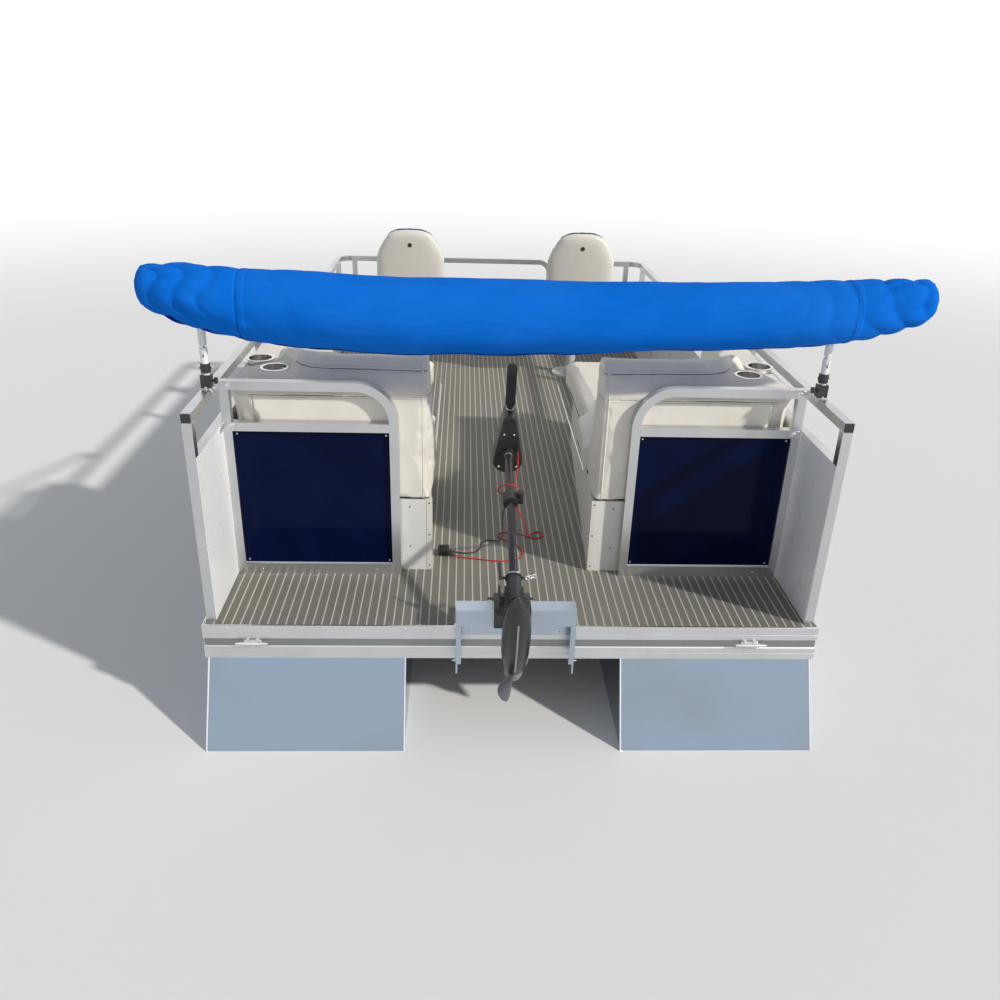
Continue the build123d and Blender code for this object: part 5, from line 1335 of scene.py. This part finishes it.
def make_mount_fastenings():
    """Flanges, bolts and tip bolts of the motor bracket, and the cleats' bolts."""
    bm, flange = bmesh.new(), bmesh.new()
    for sign in (-1, 1):
        outer = 0.203 * sign
        plate(flange, place(outer, -0.0620, -0.1120), place(0.185 * sign, -0.0648, 0.0405), 0.0008)
        for z in (0.020, -0.022, -0.072):
            bolt(bm, place(outer, -0.020, z), (sign, 0, 0), 0.0048)
            bolt(bm, place(outer - sign * 0.006, -0.020, z), (-sign, 0, 0), 0.0042)
        for turn, start in ((sign, outer), (-sign, outer - sign * 0.006)):
            bolt(bm, place(start, -0.046, -0.108), (turn, 0, 0), 0.0042)
            stud(bm, place(start, -0.046, -0.108), (turn, 0, 0), 0.0026, 0.013)
    for x in (-0.150, 0.150):
        bolt(bm, place(x, -0.0050, -0.018), (0, -1, 0), 0.0048)
    piece("mount_fastenings", bm, "zinc", smooth=40)
    piece("mount_flanges", flange, "bracket", smooth=30)
    bm = bmesh.new()
    for x, y, out in ((-0.900, -0.001, -1), (0.830, -0.001, -1), (-0.850, DECK_LENGTH + 0.001, 1),
                      (0.850, DECK_LENGTH + 0.001, 1)):
        for off in (-0.0245, 0.0245):
            stud(bm, place(x + off, y, -0.062), (0, out, 0), 0.0042, 0.0036, 12)
    piece("cleat_bolts", bm, "steel", smooth=40)


def make_chair_fastenings():
    """Bolts in the pedestals' feet and a polished ring under each chair."""
    bm = turned(((0.0302, 0.286), (0.0345, 0.288), (0.0352, 0.300), (0.0345, 0.312), (0.0302, 0.314)), 40, False,
                place(CHAIR_X, CHAIR_Y, 0))
    for turn in range(6):
        angle = math.radians(60 * turn + 30)
        x, y = CHAIR_X + 0.098 * math.cos(angle), CHAIR_Y + 0.098 * math.sin(angle)
        bolt(bm, place(x, y, 0.0142), (0, 0, 1), 0.0055)
    in_pair("pedestal_bolts", bm, "zinc", smooth=40)


TILLER_ROOT = (0, 0.1722, 0.7105)


def on_motor(bm, name, finish, body, smooth=40):
    """Makes a piece out of a mesh drawn in the stowed motor's frame."""
    return piece(name, moved(bm, stowed()), finish, body, smooth)


def make_grip():
    """The tiller's twist grip: a slim root, a ribbed sleeve and a plain end."""
    profile = [(0.0125, 0.0), (0.0132, 0.003), (0.0132, 0.018), (0.0150, 0.024)]
    for start in spread(0.026, 0.1586, 18):
        profile += [(0.0162, start), (0.0186, start + 0.0014), (0.0186, start + 0.0046), (0.0162, start + 0.0060)]
    profile += [(0.0184, 0.1690), (0.0189, 0.1740), (0.0186, 0.1930), (0.0150, 0.2000), (0.0060, 0.2016)]
    bm = moved(turned(profile, 24), toward((0, 1, 0), TILLER_ROOT))
    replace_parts(on_motor(bm, "tiller_grip", "rubber", "motor_turn"), "tiller_handle")


def band(radius, low, high, thick=0.0014):
    """A thin metal ring round Z."""
    return turned(((radius - thick, low), (radius, low + 0.0006), (radius, high - 0.0006), (radius - thick, high)),
                  36, False)


def make_motor_details():
    """The motor's rings, screws, a painted highlight along its keel, and the handle that lets the tilt go."""
    metal = band(0.0160, 0.6440, 0.6530)
    add(metal, moved(band(0.0145, 0.0060, 0.0120), toward((0, 1, 0), TILLER_ROOT)))
    for x in (-0.034, 0.034):
        for y in (-0.075, 0.085):
            stud(metal, Vector((x * (1 if y < 0 else 0.55), y, 0.6682)), (0, 0, -1), 0.0042, 0.0016, 12)
    on_motor(metal, "motor_rings", "zinc", "motor_turn")
    # Lighter grey strips along the keel's edge and sole: a painted highlight
    highlight = bmesh.new()
    pod, under = -0.187, -0.0551
    keel = [(0.1120, -0.0436), (0.0200, under), (-0.0900, under), (-0.1240, -0.0460)]
    sole = pod + under
    for side in (-0.0026, 0.0026):
        plate(highlight, Vector((side, -0.090, sole - 0.0002)), Vector((0, 0.020, sole + 0.0014)), 0.0004)
    for (y0, z0), (y1, z1) in (keel[:2], keel[2:]):
        strip = slab(Vector((-0.0026, 0, -0.0008)), Vector((0.0026, math.hypot(y1 - y0, z1 - z0), 0.0008)))
        lean = Matrix.Rotation(math.atan2(z1 - z0, y1 - y0), 4, "X")
        add(highlight, moved(strip, Matrix.Translation((0, y0, pod + z0)) @ lean))
    on_motor(highlight, "keel_painted_highlight", "scuffed", "motor_turn", 30)
    handle = bmesh.new()
    for k, (x, z) in enumerate(((-0.0440, 0.0505), (-0.0560, 0.0545), (-0.0680, 0.0585))):
        link = bmesh.new()
        rings = []
        for step in range(10):
            turn = math.tau * step / 10
            r, h = 0.0058 + 0.0022 * math.cos(turn), 0.0022 * math.sin(turn)
            rings.append(ring(link, 18, lambda a, r=r, h=h: Vector((r * math.cos(a), r * math.sin(a), h))))
        loft(link, rings + rings[:1], cap=False)
        lean = Matrix.Rotation(math.radians(90 if k % 2 else 20), 4, "X")
        add(handle, moved(link, Matrix.Translation((x, 0.0, z)) @ lean))
    on_motor(band(0.0294, 0.0500, 0.0556, 0.0040), "sleeve_band", "zinc", "motor_tilt")
    on_motor(handle, "release_links", "steel", "motor_tilt")
    knob = bmesh.new()
    stud(knob, Vector((-0.0358, 0.0360, 0.4160)), (0, 1, 0), 0.0066, 0.0020, 20)
    for turn in range(8):
        angle = math.radians(45 * turn)
        at = Vector((-0.0358 + 0.0118 * math.cos(angle), 0.0220, 0.4160 + 0.0118 * math.sin(angle)))
        stud(knob, at, (0, 1, 0), 0.0020, 0.0132, 8)
    on_motor(knob, "collar_knob_ribs", "black", "motor_depth")


def relief(bm, at, direction, length=0.018, wide=0.0052):
    """A tapered, ringed sleeve where a cable leaves a housing."""
    profile, slim = [(wide, -0.003)], 0.0031
    for k in range(5):
        r, z = wide + (slim - wide) * k / 4, length * k / 5
        profile += [(r + 0.0004, z), (r + 0.0004, z + 0.0020), (r - 0.0005, z + 0.0026)]
    profile += [(slim, length), (slim - 0.0012, length + 0.0004)]
    add(bm, moved(turned(profile, 16), toward(direction, at)))


def make_plug(ends):
    """The plug on the deck, with a ribbed body and a tapered relief round each cable that enters it."""
    profile = [(0.0040, 0.0), (0.0190, 0.0006), (0.0215, 0.003), (0.0215, 0.011)]
    for start in spread(0.0125, 0.0345, 5):
        profile += [(0.0190, start), (0.0214, start + 0.0014), (0.0214, start + 0.0038)]
    profile += [(0.0200, 0.0410), (0.0160, 0.0445), (0.0040, 0.0458)]
    bm = moved(turned(profile, 28), toward((-1, 0, 0), place(-0.2340, 0.511, 0.0223)))
    for at, before in ends:
        relief(bm, at, before - at, 0.022, 0.0062)
    made = piece("cable_plug", bm, "black", "hull", 40)
    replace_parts(made, "lead_plug")
    return made


for make in (set_camera, set_light, lay_floor, lay_leads, dress_frame, make_cover, make_lounge_backs, make_lounge_seats,
             make_chair_backs, make_chair_seats, make_edge_trim, make_pontoon_welds, make_fence_fittings,
             make_panel_liners, make_base_trim, make_pole_fittings, make_mount_fastenings, make_chair_fastenings,
             make_grip, make_motor_details):
    make()
